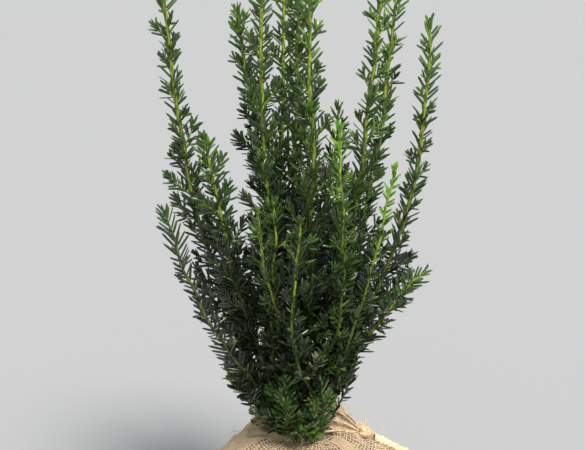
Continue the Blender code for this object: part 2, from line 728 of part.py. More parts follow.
def make_mass(name, points, radii, space, material, home, scrap, meshes, twigs_from):
    stem = as_mesh(tube(name, points, with_core(name, points, radii, space), material, home, 0), home)
    dress(name, points, space, scrap, meshes, twigs_from)
    fuse(stem, scrap)


def build():
    clear_scene()
    home = bpy.data.collections.new("hillii_yew")
    scrap = bpy.data.collections.new("fused_pieces")
    for collection in (home, scrap):
        bpy.context.scene.collection.children.link(collection)
    materials = make_materials()
    ball = make_ball(materials["sacking"], home)
    keep_clear = make_sacking(ball, materials["sacking"], home)

    boughs = bough_paths()
    leaders = leader_paths(leader_starts(boughs))
    stem, stem_limb, bough_radii = make_stem(boughs, materials["bark"], home, scrap)
    sprays = spray_paths(stem)

    space = Space()
    for points, radii in [stem_limb, *keep_clear, *((path, bough_radii) for path in boughs.values())]:
        space.add_limb(points, radii)
    for name, path in {**leaders, **sprays}.items():
        space.add_stem(name, path)
    space.finish()

    for name, path in boughs.items():
        make_bough(name, path, bough_radii, materials["bark"], home)
    meshes = {"needle": needle_mesh(), "twig": twig_mesh()}
    for name, path in leaders.items():
        radii = even_radii(len(path), LEADERS[name][3], LEADER_TIP_RADIUS)
        look = materials["fresh_foliage" if name == "shoot_right_fresh" else "foliage"]
        make_mass(name, path, radii, space, look, home, scrap, meshes, 0.09)
    for name, path in sprays.items():
        radii = even_radii(len(path), SPRAY_FOOT_RADIUS, LEADER_TIP_RADIUS)
        make_mass(name, path, radii, space, materials["foliage"], home, scrap, meshes, 0.03)
    bpy.data.collections.remove(scrap)


build()
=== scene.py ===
"""Looks of a young Hill's yew standing on its root ball wrapped in jute sacking.

Everything is in metres in the frame of the solids: the origin is the middle of the ball's flat underside,
-Y is the front, and places in the crown are measured from the collar, where the stem leaves the ball.
"""

import math
import random

import bpy
import numpy as np
from mathutils import Matrix, Vector, noise
from mathutils.geometry import interpolate_bezier


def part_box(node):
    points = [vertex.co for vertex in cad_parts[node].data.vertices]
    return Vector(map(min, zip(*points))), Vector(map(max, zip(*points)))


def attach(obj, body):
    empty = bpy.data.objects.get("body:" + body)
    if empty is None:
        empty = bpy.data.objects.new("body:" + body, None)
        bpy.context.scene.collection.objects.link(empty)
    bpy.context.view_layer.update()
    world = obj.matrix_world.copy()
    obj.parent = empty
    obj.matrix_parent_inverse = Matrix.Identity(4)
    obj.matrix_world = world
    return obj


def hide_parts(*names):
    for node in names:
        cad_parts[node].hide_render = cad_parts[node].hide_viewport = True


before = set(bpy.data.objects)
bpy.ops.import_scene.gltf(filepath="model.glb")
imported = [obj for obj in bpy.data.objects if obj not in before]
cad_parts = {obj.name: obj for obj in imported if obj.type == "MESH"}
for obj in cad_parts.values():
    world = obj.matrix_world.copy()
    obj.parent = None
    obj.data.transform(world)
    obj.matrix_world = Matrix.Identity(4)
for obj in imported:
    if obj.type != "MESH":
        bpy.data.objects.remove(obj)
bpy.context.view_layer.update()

SEED = "hillii"

# Root ball, as in the solids
BALL_HEIGHT = 0.225
BALL_RADIUS = 0.165
BALL_BELLY_HEIGHT = 0.105
BALL_FOOT_RADIUS = 0.114
BALL_TOP_FLAT_RADIUS = 0.045
BALL_TOP_ROUNDNESS = 1.8
BALL_FOOT_ROUNDNESS = 2.4
BALL_SLUMP = 0.014
BALL_SLUMP_RUN = 0.035
BALL_BULGE = 0.12

# Stem and boughs, as in the solids; a bough's tip is measured from the collar, its fork's height up the stem
COLLAR = Vector((-0.014, 0.0, BALL_HEIGHT + 0.0003))
STEM_STATIONS = ((0.0, 0.019), (0.005, 0.0165), (0.014, 0.0145), (0.03, 0.0135), (0.046, 0.0125))
STEM_LEAN = Vector((0.004, 0.002, 0.0))
STEM_HEIGHT = STEM_STATIONS[-1][0]
BOUGHS = {
    "bough_left_low": ((-0.062, -0.006, 0.076), 0.020),
    "bough_left": ((-0.062, 0.006, 0.120), 0.030),
    "bough_front_left": ((-0.034, -0.028, 0.100), 0.028),
    "bough_front_right": ((0.012, -0.034, 0.096), 0.024),
    "bough_centre_left": ((-0.024, 0.006, 0.130), 0.036),
    "bough_centre_right": ((0.009, 0.002, 0.136), 0.038),
    "bough_right": ((0.048, 0.010, 0.140), 0.032),
    "bough_right_low": ((0.050, -0.016, 0.108), 0.022),
    "bough_back": ((-0.010, 0.046, 0.104), 0.028),
    "bough_back_right": ((0.032, 0.040, 0.100), 0.024),
}
BOUGH_FORK_RADIUS = 0.0062
BOUGH_TIP_RADIUS = 0.0048
BOUGH_START_LEAN = 1.45
BOUGH_MOST_LEAN = 1.25
BOUGH_TIP_LEAN = 0.6
BARK_STEP = 0.0018
BARK_SIDES = 28
BARK_GRAIN = 0.0005
BARK_LUMPS = 0.0007

# Leaders, as in the solids: bough, tip from the collar, lean there in degrees, foot's radius in the solids
LEADERS = {
    "shoot_left_low": ("left_low", (-0.197, -0.040, 0.380), 14, 0.0021),
    "shoot_left_tall": ("left", (-0.197, 0.020, 0.715), 4, 0.0024),
    "shoot_left_inner": ("left", (-0.142, -0.030, 0.482), 16, 0.0020),
    "shoot_centre_left_slim": ("centre_left", (-0.095, 0.030, 0.650), 8, 0.0019),
    "shoot_centre_left_tall": ("centre_left", (-0.058, 0.000, 0.735), 1, 0.0027),
    "shoot_centre_back": ("centre_left", (-0.030, 0.080, 0.690), 2, 0.0019),
    "shoot_centre_tall": ("centre_right", (-0.009, -0.010, 0.715), 2, 0.0022),
    "shoot_centre_right_tall": ("centre_right", (0.005, -0.035, 0.695), 4, 0.0021),
    "shoot_mid_right": ("centre_right", (0.050, 0.050, 0.514), 4, 0.0019),
    "shoot_right_tall": ("right", (0.102, -0.010, 0.695), 3, 0.0023),
    "shoot_right_back_tall": ("right", (0.130, 0.040, 0.680), 6, 0.0022),
    "shoot_right_fresh": ("right_low", (0.126, -0.030, 0.443), 6, 0.0018),
    "shoot_far_right": ("right_low", (0.170, 0.010, 0.636), -2, 0.0023),
    "shoot_right_low": ("right_low", (0.183, -0.020, 0.282), 48, 0.0020),
    "shoot_right_low_back": ("right", (0.162, 0.030, 0.270), 40, 0.0018),
    "shoot_front_left": ("front_left", (-0.064, -0.090, 0.395), 3, 0.0020),
    "shoot_front_mid": ("front_left", (-0.042, -0.060, 0.402), 3, 0.0019),
    "shoot_front": ("front_right", (-0.006, -0.100, 0.383), 8, 0.0019),
    "shoot_front_right": ("front_right", (0.045, -0.080, 0.506), 6, 0.0022),
    "shoot_back_left_low": ("left_low", (-0.118, 0.090, 0.272), 30, 0.0018),
    "shoot_back_left": ("back", (-0.084, 0.110, 0.332), 20, 0.0018),
    "shoot_back_tall": ("back", (-0.044, 0.120, 0.474), 8, 0.0020),
    "shoot_back": ("back", (0.004, 0.170, 0.333), 30, 0.0018),
    "shoot_back_mid": ("back_right", (-0.005, 0.150, 0.509), 10, 0.0020),
    "shoot_back_right_tall": ("back_right", (0.043, 0.130, 0.425), 10, 0.0019),
    "shoot_back_right": ("back_right", (0.081, 0.110, 0.397), 12, 0.0018),
    "shoot_back_right_low": ("back_right", (0.113, 0.090, 0.297), 30, 0.0018),
}
LEADER_START_SPREAD = 0.35
LEADER_START_SINK = 0.002
SWING_EARLINESS = 0.7
SWING_FLATNESS = 1.5
SWING_AT_FOOT = 2.0
SEAT_GAP = 0.0003

# Low sprays, as in the solids: bearing in degrees from +X, reach and rise
LOW_SPRAYS = {
    "spray_right": (352, 0.080, 0.128),
    "spray_right_back": (32, 0.082, 0.080),
    "spray_back_right": (66, 0.084, 0.120),
    "spray_back": (98, 0.092, 0.070),
    "spray_back_left": (132, 0.090, 0.118),
    "spray_left_back": (162, 0.104, 0.070),
    "spray_left": (188, 0.108, 0.128),
    "spray_left_front": (216, 0.094, 0.066),
    "spray_front_left": (244, 0.076, 0.098),
    "spray_front": (272, 0.066, 0.044),
    "spray_front_right": (300, 0.070, 0.092),
    "spray_right_front": (326, 0.070, 0.054),
}
SPRAY_FOOT_HEIGHT = 0.0095
SPRAY_FOOT_OUT = 0.013
SPRAY_START_LEAN = 86
SPRAY_TIP_LEAN = 0.55

# Sacking: the inner layer's grid and relief, the outer layer's net, folds as (turn in degrees, radius), ties
SKIN_ROWS = 180
SKIN_COLUMNS = 320
SKIN_DEPTH = 0.0012
LUMPS = ((0.0048, 13, 3.1), (0.0022, 36, 7.7))
PLEATS = ((7, 0.4, 0.0034), (11, 1.9, 0.0024), (17, 4.0, 0.0014))
MESH_SIZE = 0.0048
NET_TOP = 0.028
NET_LIFT = 0.0012
WEAVE_LIFT = 0.0004
YARN_HALF_WIDTH = 0.00066
FOLDS = (
    (((204, 0.034), (190, 0.075), (180, 0.118), (176, 0.155)), (0.010, 0.022, 0.030), 0.0090),
    (((330, 0.034), (322, 0.080), (318, 0.125), (316, 0.158)), (0.008, 0.013, 0.016), 0.0045),
    (((112, 0.040), (104, 0.090), (100, 0.140)), (0.010, 0.018, 0.022), 0.0050),
)
KNOT_PLACE = (0.080, 0.020)
KNOT_LIFT = 0.0088
KNOT_REACH = 0.0098
KNOT_ROLL = 0.0044
FAN_EDGE = (
    (0.032, -0.002, 0.2265),
    (0.028, 0.004, 0.236),
    (0.029, 0.010, 0.250),
    (0.034, 0.016, 0.262),
    (0.048, 0.021, 0.254),
)
FAN_NARROW = 0.004
FAN_CLOTH = 0.055
FAN_THICKNESS = 0.0012
FAN_YARNS_ALONG = 46
FAN_YARNS_ACROSS = 9
FAN_YARN_SPOTS = 18
FRINGE_FROM = 0.72
FRINGE_STRAY = 0.0040
ROLL_START = 0.0175
ROLL_RUN = 0.074
ROLL_DRIFT = 0.12
ROLL_STATIONS = ((0.0, 0.0060), (0.4, 0.0066), (0.85, 0.0112), (1.0, 0.0085))
BACK_ROLL_HALF_WIDTH = 0.078
BACK_ROLL_DEPTH = 0.062
BACK_ROLL_ANGLES = (6, 172)
BACK_ROLL_LIFT = 0.0050
BACK_ROLL_SPOTS = 34
FIBRES_ON_BALL = 150
FIBRES_AT_STEM = 60
FIBRES_ON_TIES = 2
FIBRES_AT_FAN = 230
FIBRE_STEP = 0.0022
FIBRE_RADII = (0.00026, 0.00048)

# Floor, light and camera
FLOOR_REACH = 300.0
FLOOR_HEIGHT = -0.0005
SKY_COLOUR = (0.93, 0.965, 1.0, 1.0)
SKY_STRENGTH = 0.58
SUN_COLOUR = (1.0, 0.955, 0.88)
SUN_STRENGTH = 3.7
SUN_SIZE = 20
TOWARDS_SUN = (0.55, -0.62, 1.35)
CAMERA_PLACE = (-0.0305, -1.1343, 0.8894)
CAMERA_PITCH = 74

# What sets single shoots and sprays apart: swing to the right and back between foot and tip, lift of the
# tone, share of twigs in the faded tone (dry needles, partly painted highlights of sun-hit needles), how far
# needles lie in two rows, their length, lean and gap, the side twigs' size, and how far up the stem looks old
USUAL = dict(
    swing=(0, 0), lift=0.0, faded_and_glint=0.05, ranks=0.5, length=1.0, lean=1.0, gap=1.0, spread=1.0, age=1.0
)
HABITS = {
    "shoot_left_low": dict(
        swing=(-0.012, -0.012), lift=-0.10, ranks=0.95, length=1.12,
        lean=0.92, gap=0.84, spread=0.45, age=0.43,
    ),
    "shoot_left_tall": dict(ranks=0.75, gap=0.95, spread=0.85),
    "shoot_left_inner": dict(swing=(-0.012, 0), gap=0.8, spread=1.3),
    "shoot_centre_left_slim": dict(gap=0.78, spread=1.15),
    "shoot_centre_left_tall": dict(swing=(-0.024, 0), gap=0.85),
    "shoot_centre_back": dict(swing=(0.030, 0)),
    "shoot_centre_right_tall": dict(swing=(0.008, 0)),
    "shoot_mid_right": dict(lift=-0.10),
    "shoot_right_tall": dict(gap=1.1),
    "shoot_right_back_tall": dict(swing=(0.021, 0), gap=1.1, spread=0.8),
    "shoot_right_fresh": dict(length=0.66, spread=0.45),
    "shoot_far_right": dict(swing=(0.038, 0), ranks=0.95, lean=0.84, gap=1.04, spread=0.7),
    "shoot_right_low": dict(lift=0.04, faded_and_glint=0.2, ranks=0.85),
    "shoot_right_low_back": dict(swing=(0.018, 0), ranks=0.85),
    "shoot_front_left": dict(lift=-0.04, length=0.84),
    "shoot_front_mid": dict(swing=(0.018, 0), lift=-0.06, length=0.84),
    "shoot_front": dict(swing=(-0.020, 0), lift=-0.06, length=0.84),
    "shoot_front_right": dict(swing=(0.020, 0), lift=0.14, length=0.9, spread=0.8),
    "spray_right": dict(faded_and_glint=0.5),
    "spray_right_back": dict(faded_and_glint=0.3),
    "spray_right_front": dict(lift=0.08, faded_and_glint=0.5),
    "spray_front": dict(lift=0.30, faded_and_glint=0.45),
    "spray_front_left": dict(lift=0.12, faded_and_glint=0.15),
    "spray_front_right": dict(lift=0.16, faded_and_glint=0.4),
}

# Growth of the real shoots: sizes in metres, angles in degrees
STATION_STEP = 0.004
WIGGLE = 0.0016
WAVER_SPANS = ((1.5, 4.5), (0, math.tau), (0.4, 1.0))
SHORT_OF_TIP = 0.011
LEADER_STATIONS = ((0.0, 0.0040), (0.6, 0.0032), (0.9, 0.0025), (1.0, 0.0016))
SLIM_BELOW = 0.46
SLIM_STEM = 0.72
STEM_ZONES = (("twigs_old", 0.20), ("twigs_olive", 0.42), ("twigs_green", 0.64), ("twigs_light", 9.0))
SPRAY_STATIONS = ((0.0, 0.0021), (1.0, 0.0010))
LATERAL_STATIONS = ((0.0, 0.0016), (1.0, 0.0010))
LATERAL_STATION_STEP = 0.007
LATERAL_STEP_HIGH = 0.0165
LATERAL_STEP_LOW = 0.0098
LATERAL_SIZES = ((0.0, 0.018), (0.20, 0.031), (0.34, 0.050), (0.60, 0.086), (1.0, 0.090))
LATERAL_LEAN = (34, 50)
LATERAL_SPREAD = (0.6, 1.25)
LATERAL_TRIES = 7
LATERAL_SHRINK = 0.86
LATERAL_LEAST = 0.012
LATERALS_HIGH_FROM = 0.40
BARE_TIP = 0.022
GAP_SPREAD = (0.7, 1.3)
TWIG_ZONES = (("twigs_old", 0.12), ("twigs_olive", 0.30), ("twigs_green", 0.50), ("twigs_light", 9.0))
TWIGLETS_FROM = (0.042, 0.055, 0.068)
TWIGLET_LENGTHS = (0.014, 0.028)
TWIGLET_LEAN = (36, 50)
SKIRT_LEFT = ((0.0, -0.012), (0.045, 0.006), (0.077, 0.043), (0.12, 0.094), (0.147, 0.154), (0.20, 0.30))
SKIRT_RIGHT = (
    *((0.0, -0.012), (0.030, 0.004), (0.043, 0.016), (0.054, 0.038), (0.066, 0.076)),
    *((0.080, 0.118), (0.094, 0.146), (0.112, 0.172), (0.145, 0.192), (0.19, 0.228)),
)
SKIRT_RAGGEDNESS = 0.016
SKIRT_RAGS = 32.0
SKIRT_FRONT_LIFT = 0.25
SKIRT_SLACK_FROM = 0.07
SHORT_AT_SKIRT = 0.62
SKIRT_SHORT_SLACK = 0.009
TWIGS_OVER_SKIRT = 0.014
TWIGS_OVER_SKIRT_FROM = 0.03
NEEDLE_SLACK = (-0.006, 0.022)
NEEDLE_SLACK_RIGHT = (-0.006, 0.036)
NEEDLE_SLACK_RIGHT_FROM = 0.05
CLEAR_OF_CLOTH = 0.003
BARE_BOUGH = 0.35
CLEAR_OF_LIMBS = 0.004
CLEAR_OF_STEMS = 0.006
REACH_BEYOND_SOLID = 0.012
MIDDLE_OF_CROWN = ((-0.142, -0.13, BALL_HEIGHT), (0.118, 0.13, COLLAR.z + 0.30))
GOLDEN_ANGLE = 137.5

# Needles
NEEDLE_LENGTH_LOW = 0.030
NEEDLE_LENGTH_HIGH = 0.0265
NEEDLES_HIGH_FROM = 0.45
NEEDLE_LENGTH_SPREAD = (0.82, 1.08)
NEEDLE_WIDTH = 0.0040
NEEDLE_WIDTH_SPREAD = (0.86, 1.1)
NEEDLE_BENDS = (-0.02, 0.07)
NEEDLE_GAP_LEADER = 0.0041
NEEDLE_GAP_SIDE = 0.0031
TIP_ZONE = 0.028
TIP_ZONE_SHARE = 0.6
SHORTER_AT_TIP = 0.42
CLOSER_AT_TIP = 0.7
ROWS_END_AT = 0.6
FACE_STRAY = 0.42
FRONT_IN_MIDDLE = 0.30
BACK_FROM = 0.055
TURNED_BACK = 0.6
NEEDLE_LEAN = 47
NEEDLE_TIP_LEAN = 24
NEEDLE_STRAY = 4.5
NEEDLE_VALUE_STRAY = 0.09
NEEDLE_RINGS = ((0.0, 0.24), (0.22, 0.96), (0.84, 0.80))
NEEDLES_IN_A_PIECE = 9000
NEEDLE_TOP = 0.25
NEEDLE_BELOW = 0.20

# Tones of the needles from the deep inside to the freshest growth, and of dry ones, whose tone also serves
# for painted glints: upper and lower side, linear RGB
TONES = (
    ("deep", (0.009, 0.016, 0.008), (0.044, 0.056, 0.034)),
    ("dark", (0.016, 0.031, 0.012), (0.066, 0.088, 0.045)),
    ("plain", (0.030, 0.063, 0.014), (0.088, 0.130, 0.046)),
    ("light", (0.050, 0.114, 0.016), (0.115, 0.180, 0.044)),
    ("bright", (0.100, 0.215, 0.022), (0.155, 0.260, 0.048)),
    ("fresh", (0.170, 0.380, 0.026), (0.200, 0.370, 0.045)),
    ("faded_and_glint", (0.190, 0.225, 0.110), (0.250, 0.275, 0.165)),
)
# Stem colours as the dark and light ends of a mottling; the dark end is partly painted shade for the stems'
# shaded sides
TWIG_COLOURS = {
    "twigs_old": ((0.05, 0.06, 0.02), (0.13, 0.13, 0.05)),
    "twigs_olive": ((0.035, 0.060, 0.012), (0.13, 0.18, 0.03)),
    "twigs_green": ((0.045, 0.085, 0.012), (0.27, 0.35, 0.04)),
    "twigs_light": ((0.065, 0.120, 0.015), (0.40, 0.51, 0.05)),
    "twigs_fresh": ((0.22, 0.36, 0.04), (0.36, 0.50, 0.07)),
}

# Which needles take which tone, as values from 0 to 1, and one past 1 for the faded tone: dry needles and
# painted glints
FADED_AND_GLINT = 2.0
FRESH_TWIG_FROM = 0.72
FADED_AND_GLINT_BELOW = 0.16
FADED_AND_GLINT_SHARE = 0.6
AMONG_FADED_AND_GLINT = 0.30
# Painted glints: by height, the share of needles made short and pale to stand for glints off glossy needles
PAINTED_GLINTS_BY_HEIGHT = ((-1.0, 0.15), (0.08, 0.13), (0.15, 0.06), (0.34, 0.05), (0.36, 0.0), (2.0, 0.0))
PAINTED_GLINT_LENGTH = 0.55
ROUND_THE_STEM = 0.2
# The lighter values at the very bottom are partly painted light that brightens the shaded foot of the foliage
TONE_BY_HEIGHT = ((-1.0, 0.46), (0.04, 0.43), (0.13, 0.27), (0.28, 0.28), (0.45, 0.47), (0.80, 0.56))
TONE_BY_TIP = ((0.0, 0.24), (0.05, 0.12), (0.14, 0.0), (2.0, 0.0))
LIFT_OF_FRESH_TIP = ((0.0, 0.44), (0.05, 0.34), (0.09, 0.16), (0.14, 0.0), (1.0, 0.0))


def habit(name, trait):
    """How a limb grows, where the table gives it a way of its own, or else as usual."""
    return HABITS.get(name, {}).get(trait, USUAL[trait])


def leaning(bearing, lean):
    flat = math.sin(lean)
    return Vector((math.cos(bearing) * flat, math.sin(bearing) * flat, math.cos(lean)))


def level(bearing, rise=0.0):
    """A way along the ground, by its bearing, or one that also rises."""
    return Vector((math.cos(bearing), math.sin(bearing), rise))


def bearing_of(way):
    return math.atan2(way.y, way.x)


def smooth_path(start, start_way, end, end_way, steps):
    handle = (end - start).length / 3
    return interpolate_bezier(start, start + start_way * handle, end - end_way * handle, end, steps + 1)


def around(axis, angle, lean):
    """A way that leans off an axis, at an angle round it."""
    side = axis.orthogonal().normalized()
    side.rotate(Matrix.Rotation(angle, 3, axis))
    return (axis * math.cos(lean) + side * math.sin(lean)).normalized()


def held(value, low=0.0):
    """A value kept between low and 1."""
    return min(1.0, max(low, value))


def between(stations, share):
    """A value read off a table of (share, value) rows."""
    for (low, low_value), (high, high_value) in zip(stations, stations[1:]):
        if share <= high:
            return low_value + (high_value - low_value) * (share - low) / (high - low)
    return stations[-1][1]


def tapering(stations, count, thickness=1.0):
    return [between(stations, i / (count - 1)) * thickness for i in range(count)]


# Paths of the limbs: the same rules as in the solids, followed in finer steps


def stem_middle(height):
    upright = STEM_STATIONS[1][0]
    share = max(0.0, height - upright) / (STEM_HEIGHT - upright)
    return COLLAR + STEM_LEAN * share**2 + Vector((0, 0, height))


def bough_paths(steps=32):
    paths = {}
    for name, (tip, fork_height) in BOUGHS.items():
        start, end = stem_middle(fork_height), COLLAR + Vector(tip)
        span = end - start
        bearing = bearing_of(span)
        lean = math.atan2(math.hypot(span.x, span.y), span.z)
        start_way = leaning(bearing, min(BOUGH_MOST_LEAN, BOUGH_START_LEAN * lean))
        paths[name] = smooth_path(start, start_way, end, leaning(bearing, BOUGH_TIP_LEAN * lean), steps)
    return paths


def swing(name):
    return Vector((*habit(name, "swing"), 0.0))


def leader_starts(boughs):
    """Where leaders stand side by side round their bough's tip, and which way they set out."""
    starts = {}
    for bough, path in boughs.items():
        axis = (path[-1] - path[-5]).normalized()
        across = axis.orthogonal().normalized()
        beside = axis.cross(across)
        standing = []
        for name, (on, tip, _, radius) in LEADERS.items():
            if bough == "bough_" + on:
                way = COLLAR + Vector(tip) + swing(name) * SWING_AT_FOOT - path[-1]
                standing.append((math.atan2(way.dot(beside), way.dot(across)), name, radius))
        standing.sort()
        count = len(standing)
        spread = LEADER_START_SPREAD if count > 1 else 0.0
        for i, (_, name, radius) in enumerate(standing):
            angle = standing[0][0] + math.tau * i / count
            side = across * math.cos(angle) + beside * math.sin(angle)
            off = (radius + SEAT_GAP) / math.sin(math.pi / count) if count > 1 else 0.0
            start = path[-1] - axis * LEADER_START_SINK + side * off
            starts[name] = (start, (axis + side * spread).normalized())
    return starts


def limb_path(name, start, start_way, end, end_way):
    """A limb's path, swung out between foot and tip, with a slight waver that dies out at both ends."""
    steps = round((end - start).length / STATION_STEP)
    chance = random.Random(SEED + "waver" + name)
    waves = [[chance.uniform(*span) for span in WAVER_SPANS] for _ in range(4)]
    pairs = (waves[:2], waves[2:])
    path = []
    for i, point in enumerate(smooth_path(start, start_way, end, end_way, steps)):
        t = i / steps
        point = point + swing(name) * abs(math.sin(math.pi * t**SWING_EARLINESS)) ** SWING_FLATNESS
        fade = WIGGLE * min(1.0, 6 * t, 6 * (1 - t))
        x, y = (sum(math.sin(f * math.tau * t + p) * a for f, p, a in pair) for pair in pairs)
        path.append(point + Vector((x, y, 0.0)) * fade)
    return path


def leader_paths(boughs):
    paths, starts = {}, leader_starts(boughs)
    for name, (_, tip, tip_lean, _) in LEADERS.items():
        start, start_way = starts[name]
        end = COLLAR + Vector(tip)
        end_way = leaning(bearing_of(end - start), math.radians(tip_lean))
        paths[name] = limb_path(name, start, start_way, end, end_way)
    return paths


def spray_paths():
    paths = {}
    for name, (bearing_deg, reach, rise) in LOW_SPRAYS.items():
        bearing = math.radians(bearing_deg)
        out = level(bearing)
        start = stem_middle(SPRAY_FOOT_HEIGHT) + out * SPRAY_FOOT_OUT
        end = COLLAR + out * reach + Vector((0, 0, rise))
        start_way = leaning(bearing, math.radians(SPRAY_START_LEAN))
        end_way = leaning(bearing, SPRAY_TIP_LEAN * math.atan2(reach, rise))
        paths[name] = limb_path(name, start, start_way, end, end_way)
    return paths


def nearest(points, spot):
    return np.linalg.norm(points - spot, axis=1).min()


class Crown:
    """Collects needles and twigs while the shoots grow, and keeps side twigs out of each other's way."""

    def __init__(self, boughs, stems):
        self.needles = {tone[0]: [] for tone in TONES}
        self.twigs = {kind: [] for kind in TWIG_COLOURS}
        self.stems = {name: np.array(path) for name, path in stems.items()}
        self.limbs = np.array([point for path in boughs.values() for point in path])
        self.boxes = {name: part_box(name) for name in stems}

    def holds(self, name, places):
        """Whether a side twig keeps to its mass: within reach, and clear of limbs and the other stems."""
        low, high = self.boxes.get(name, MIDDLE_OF_CROWN)
        beyond = REACH_BEYOND_SOLID
        for place in places:
            if any(not low[i] - beyond <= place[i] <= high[i] + beyond for i in range(3)):
                return False
            at_right = place.x > COLLAR.x + TWIGS_OVER_SKIRT_FROM
            if not hangs_free(place, -TWIGS_OVER_SKIRT if at_right else 0.0):
                return False
            spot = np.array(place)
            if name and nearest(self.limbs, spot) < BOUGH_FORK_RADIUS + CLEAR_OF_LIMBS:
                return False
            others = (stem for other, stem in self.stems.items() if other != name)
            if any(nearest(stem, spot) < CLEAR_OF_STEMS for stem in others):
                return False
        return True

    def needle(self, value, root, way, face, length, width, bend):
        last = len(TONES) - 1
        index = last if value >= FADED_AND_GLINT else min(last - 1, max(0, int(value * last)))
        self.needles[TONES[index][0]].append((*root, *way, *face, length, width, bend))

    def twig(self, kind, points, radii):
        self.twigs[kind].append((points, radii))


def profile_share(share, roundness):
    return (1 - min(1.0, share) ** roundness) ** (1 / roundness)


def slumped(x, y, z):
    """Where places on the even ball lie once its right side has sunk and bulged, as in the solids."""
    radius = np.maximum(1e-9, np.hypot(x, y))
    clear = np.clip((radius - BALL_TOP_FLAT_RADIUS) / BALL_SLUMP_RUN, 0.0, 1.0)
    rise = np.clip(z / BALL_BELLY_HEIGHT, 0.0, 1.0)
    bulge = BALL_BULGE * np.maximum(0.0, x) * np.sqrt(rise)
    return x + bulge, y, z - BALL_SLUMP * clear * x / radius * rise


def even_x(x):
    """The even ball's x for a place on the upper side of the slumped one."""
    return x / (1 + BALL_BULGE) if x > 0 else x


def ball_height(x, y):
    """Height of the ball's upper surface, or of its belly further out."""
    even = even_x(x)
    share = (math.hypot(even, y) - BALL_TOP_FLAT_RADIUS) / (BALL_RADIUS - BALL_TOP_FLAT_RADIUS)
    rise = profile_share(max(0.0, share), BALL_TOP_ROUNDNESS)
    return float(slumped(even, y, BALL_BELLY_HEIGHT + (BALL_HEIGHT - BALL_BELLY_HEIGHT) * rise)[2])


def skirt_height(place):
    """The foliage's ragged lower edge: just over the cloth at the stem, and well above it further out."""
    x = place.x - COLLAR.x
    out = math.hypot(x, place.y)
    right = held(1.4 * x / max(out, 0.001) - 0.2)
    rise = between(SKIRT_LEFT, out) * (1 - right) + between(SKIRT_RIGHT, out) * right
    rise += SKIRT_FRONT_LIFT * max(0.0, -place.y) * min(1.0, abs(x) / 0.04)
    return COLLAR.z + rise + SKIRT_RAGGEDNESS * (1 + 1.2 * right) * noise.noise(place * SKIRT_RAGS)


def hangs_free(place, slack):
    """Whether a place is clear of the cloth, and over the foliage's lower edge give or take some slack."""
    slack *= min(1.0, math.hypot(place.x - COLLAR.x, place.y) / SKIRT_SLACK_FROM)
    return place.z > max(ball_height(place.x, place.y) + CLEAR_OF_CLOTH, skirt_height(place) - slack)


def spray_value(point, below):
    """How light a spray is: darkest low in the crown, lighter under it (partly painted light), high up and
    near a shoot's tip.
    """
    height = point.z - COLLAR.z
    return between(TONE_BY_HEIGHT, height) + between(TONE_BY_TIP, below)


def facing_at(place, behind):
    """Where needles turn their upper sides: up in the crowded middle, outwards high up and at the sides."""
    aside = (abs(place.x - COLLAR.x) - 0.06) / 0.05
    above = (place.z - COLLAR.z - 0.40) / 0.14
    front = held(max(aside, above), FRONT_IN_MIDDLE)
    return Vector((2.0 * place.x, front if behind else -front, 1.15 - front))


def needle_length(point):
    share = held((point.z - COLLAR.z) / NEEDLES_HIGH_FROM)
    return NEEDLE_LENGTH_LOW + (NEEDLE_LENGTH_HIGH - NEEDLE_LENGTH_LOW) * share


def along(points):
    """Each place's distance from a path's start."""
    steps = [(after - before).length for before, after in zip(points, points[1:])]
    return np.concatenate([[0.0], np.cumsum(steps)])


def cut_short(points, length):
    lengths = along(points)
    count = int(np.searchsorted(lengths, lengths[-1] - length))
    return points[: max(4, count)]


def needle_way(chance, axis, facing, lean, turn, ranks):
    """Which way a needle points and its upper side faces, in two rows along its shoot or all round it."""
    if ranks:
        side = axis.cross(facing).normalized() * (1 if math.sin(math.radians(turn)) > 0 else -1)
        loose = chance.random() < ROUND_THE_STEM
        off = chance.uniform(-2.2, 2.2) if loose else chance.gauss(0, 1.0 - 0.7 * ranks)
        side.rotate(Matrix.Rotation(off, 3, axis))
        way = axis * math.cos(lean) + side * math.sin(lean)
        face = facing + axis * 0.2
    else:
        way = around(axis, math.radians(turn), lean)
        face = facing * 0.9 + axis * 0.5
    way = (way + Vector((0, 0, 1)) * chance.uniform(-0.05, 0.05)).normalized()
    return way, face + Vector([chance.gauss(0, FACE_STRAY) for _ in range(3)])


def grow_needle(crown, chance, root, way, face, size, slack, value):
    """A needle where it hangs free, or a short one just under the foliage's edge, with its tone; a few are
    short painted glints.
    """
    if not hangs_free(root + way * size, slack):
        size *= SHORT_AT_SKIRT
        if not hangs_free(root + way * size, slack + SKIRT_SHORT_SLACK):
            return
    width = NEEDLE_WIDTH * chance.uniform(*NEEDLE_WIDTH_SPREAD)
    if value >= FADED_AND_GLINT and chance.random() > FADED_AND_GLINT_SHARE:
        value = AMONG_FADED_AND_GLINT
    # Some needles become short ones in the faded tone, as painted glints of sun and sky on glossy needles
    if chance.random() < between(PAINTED_GLINTS_BY_HEIGHT, root.z - COLLAR.z):
        value = FADED_AND_GLINT
        size *= PAINTED_GLINT_LENGTH
    value += chance.gauss(0, NEEDLE_VALUE_STRAY) if value < FADED_AND_GLINT else 0.0
    crown.needle(value, root, way, face, size, width, chance.uniform(*NEEDLE_BENDS))


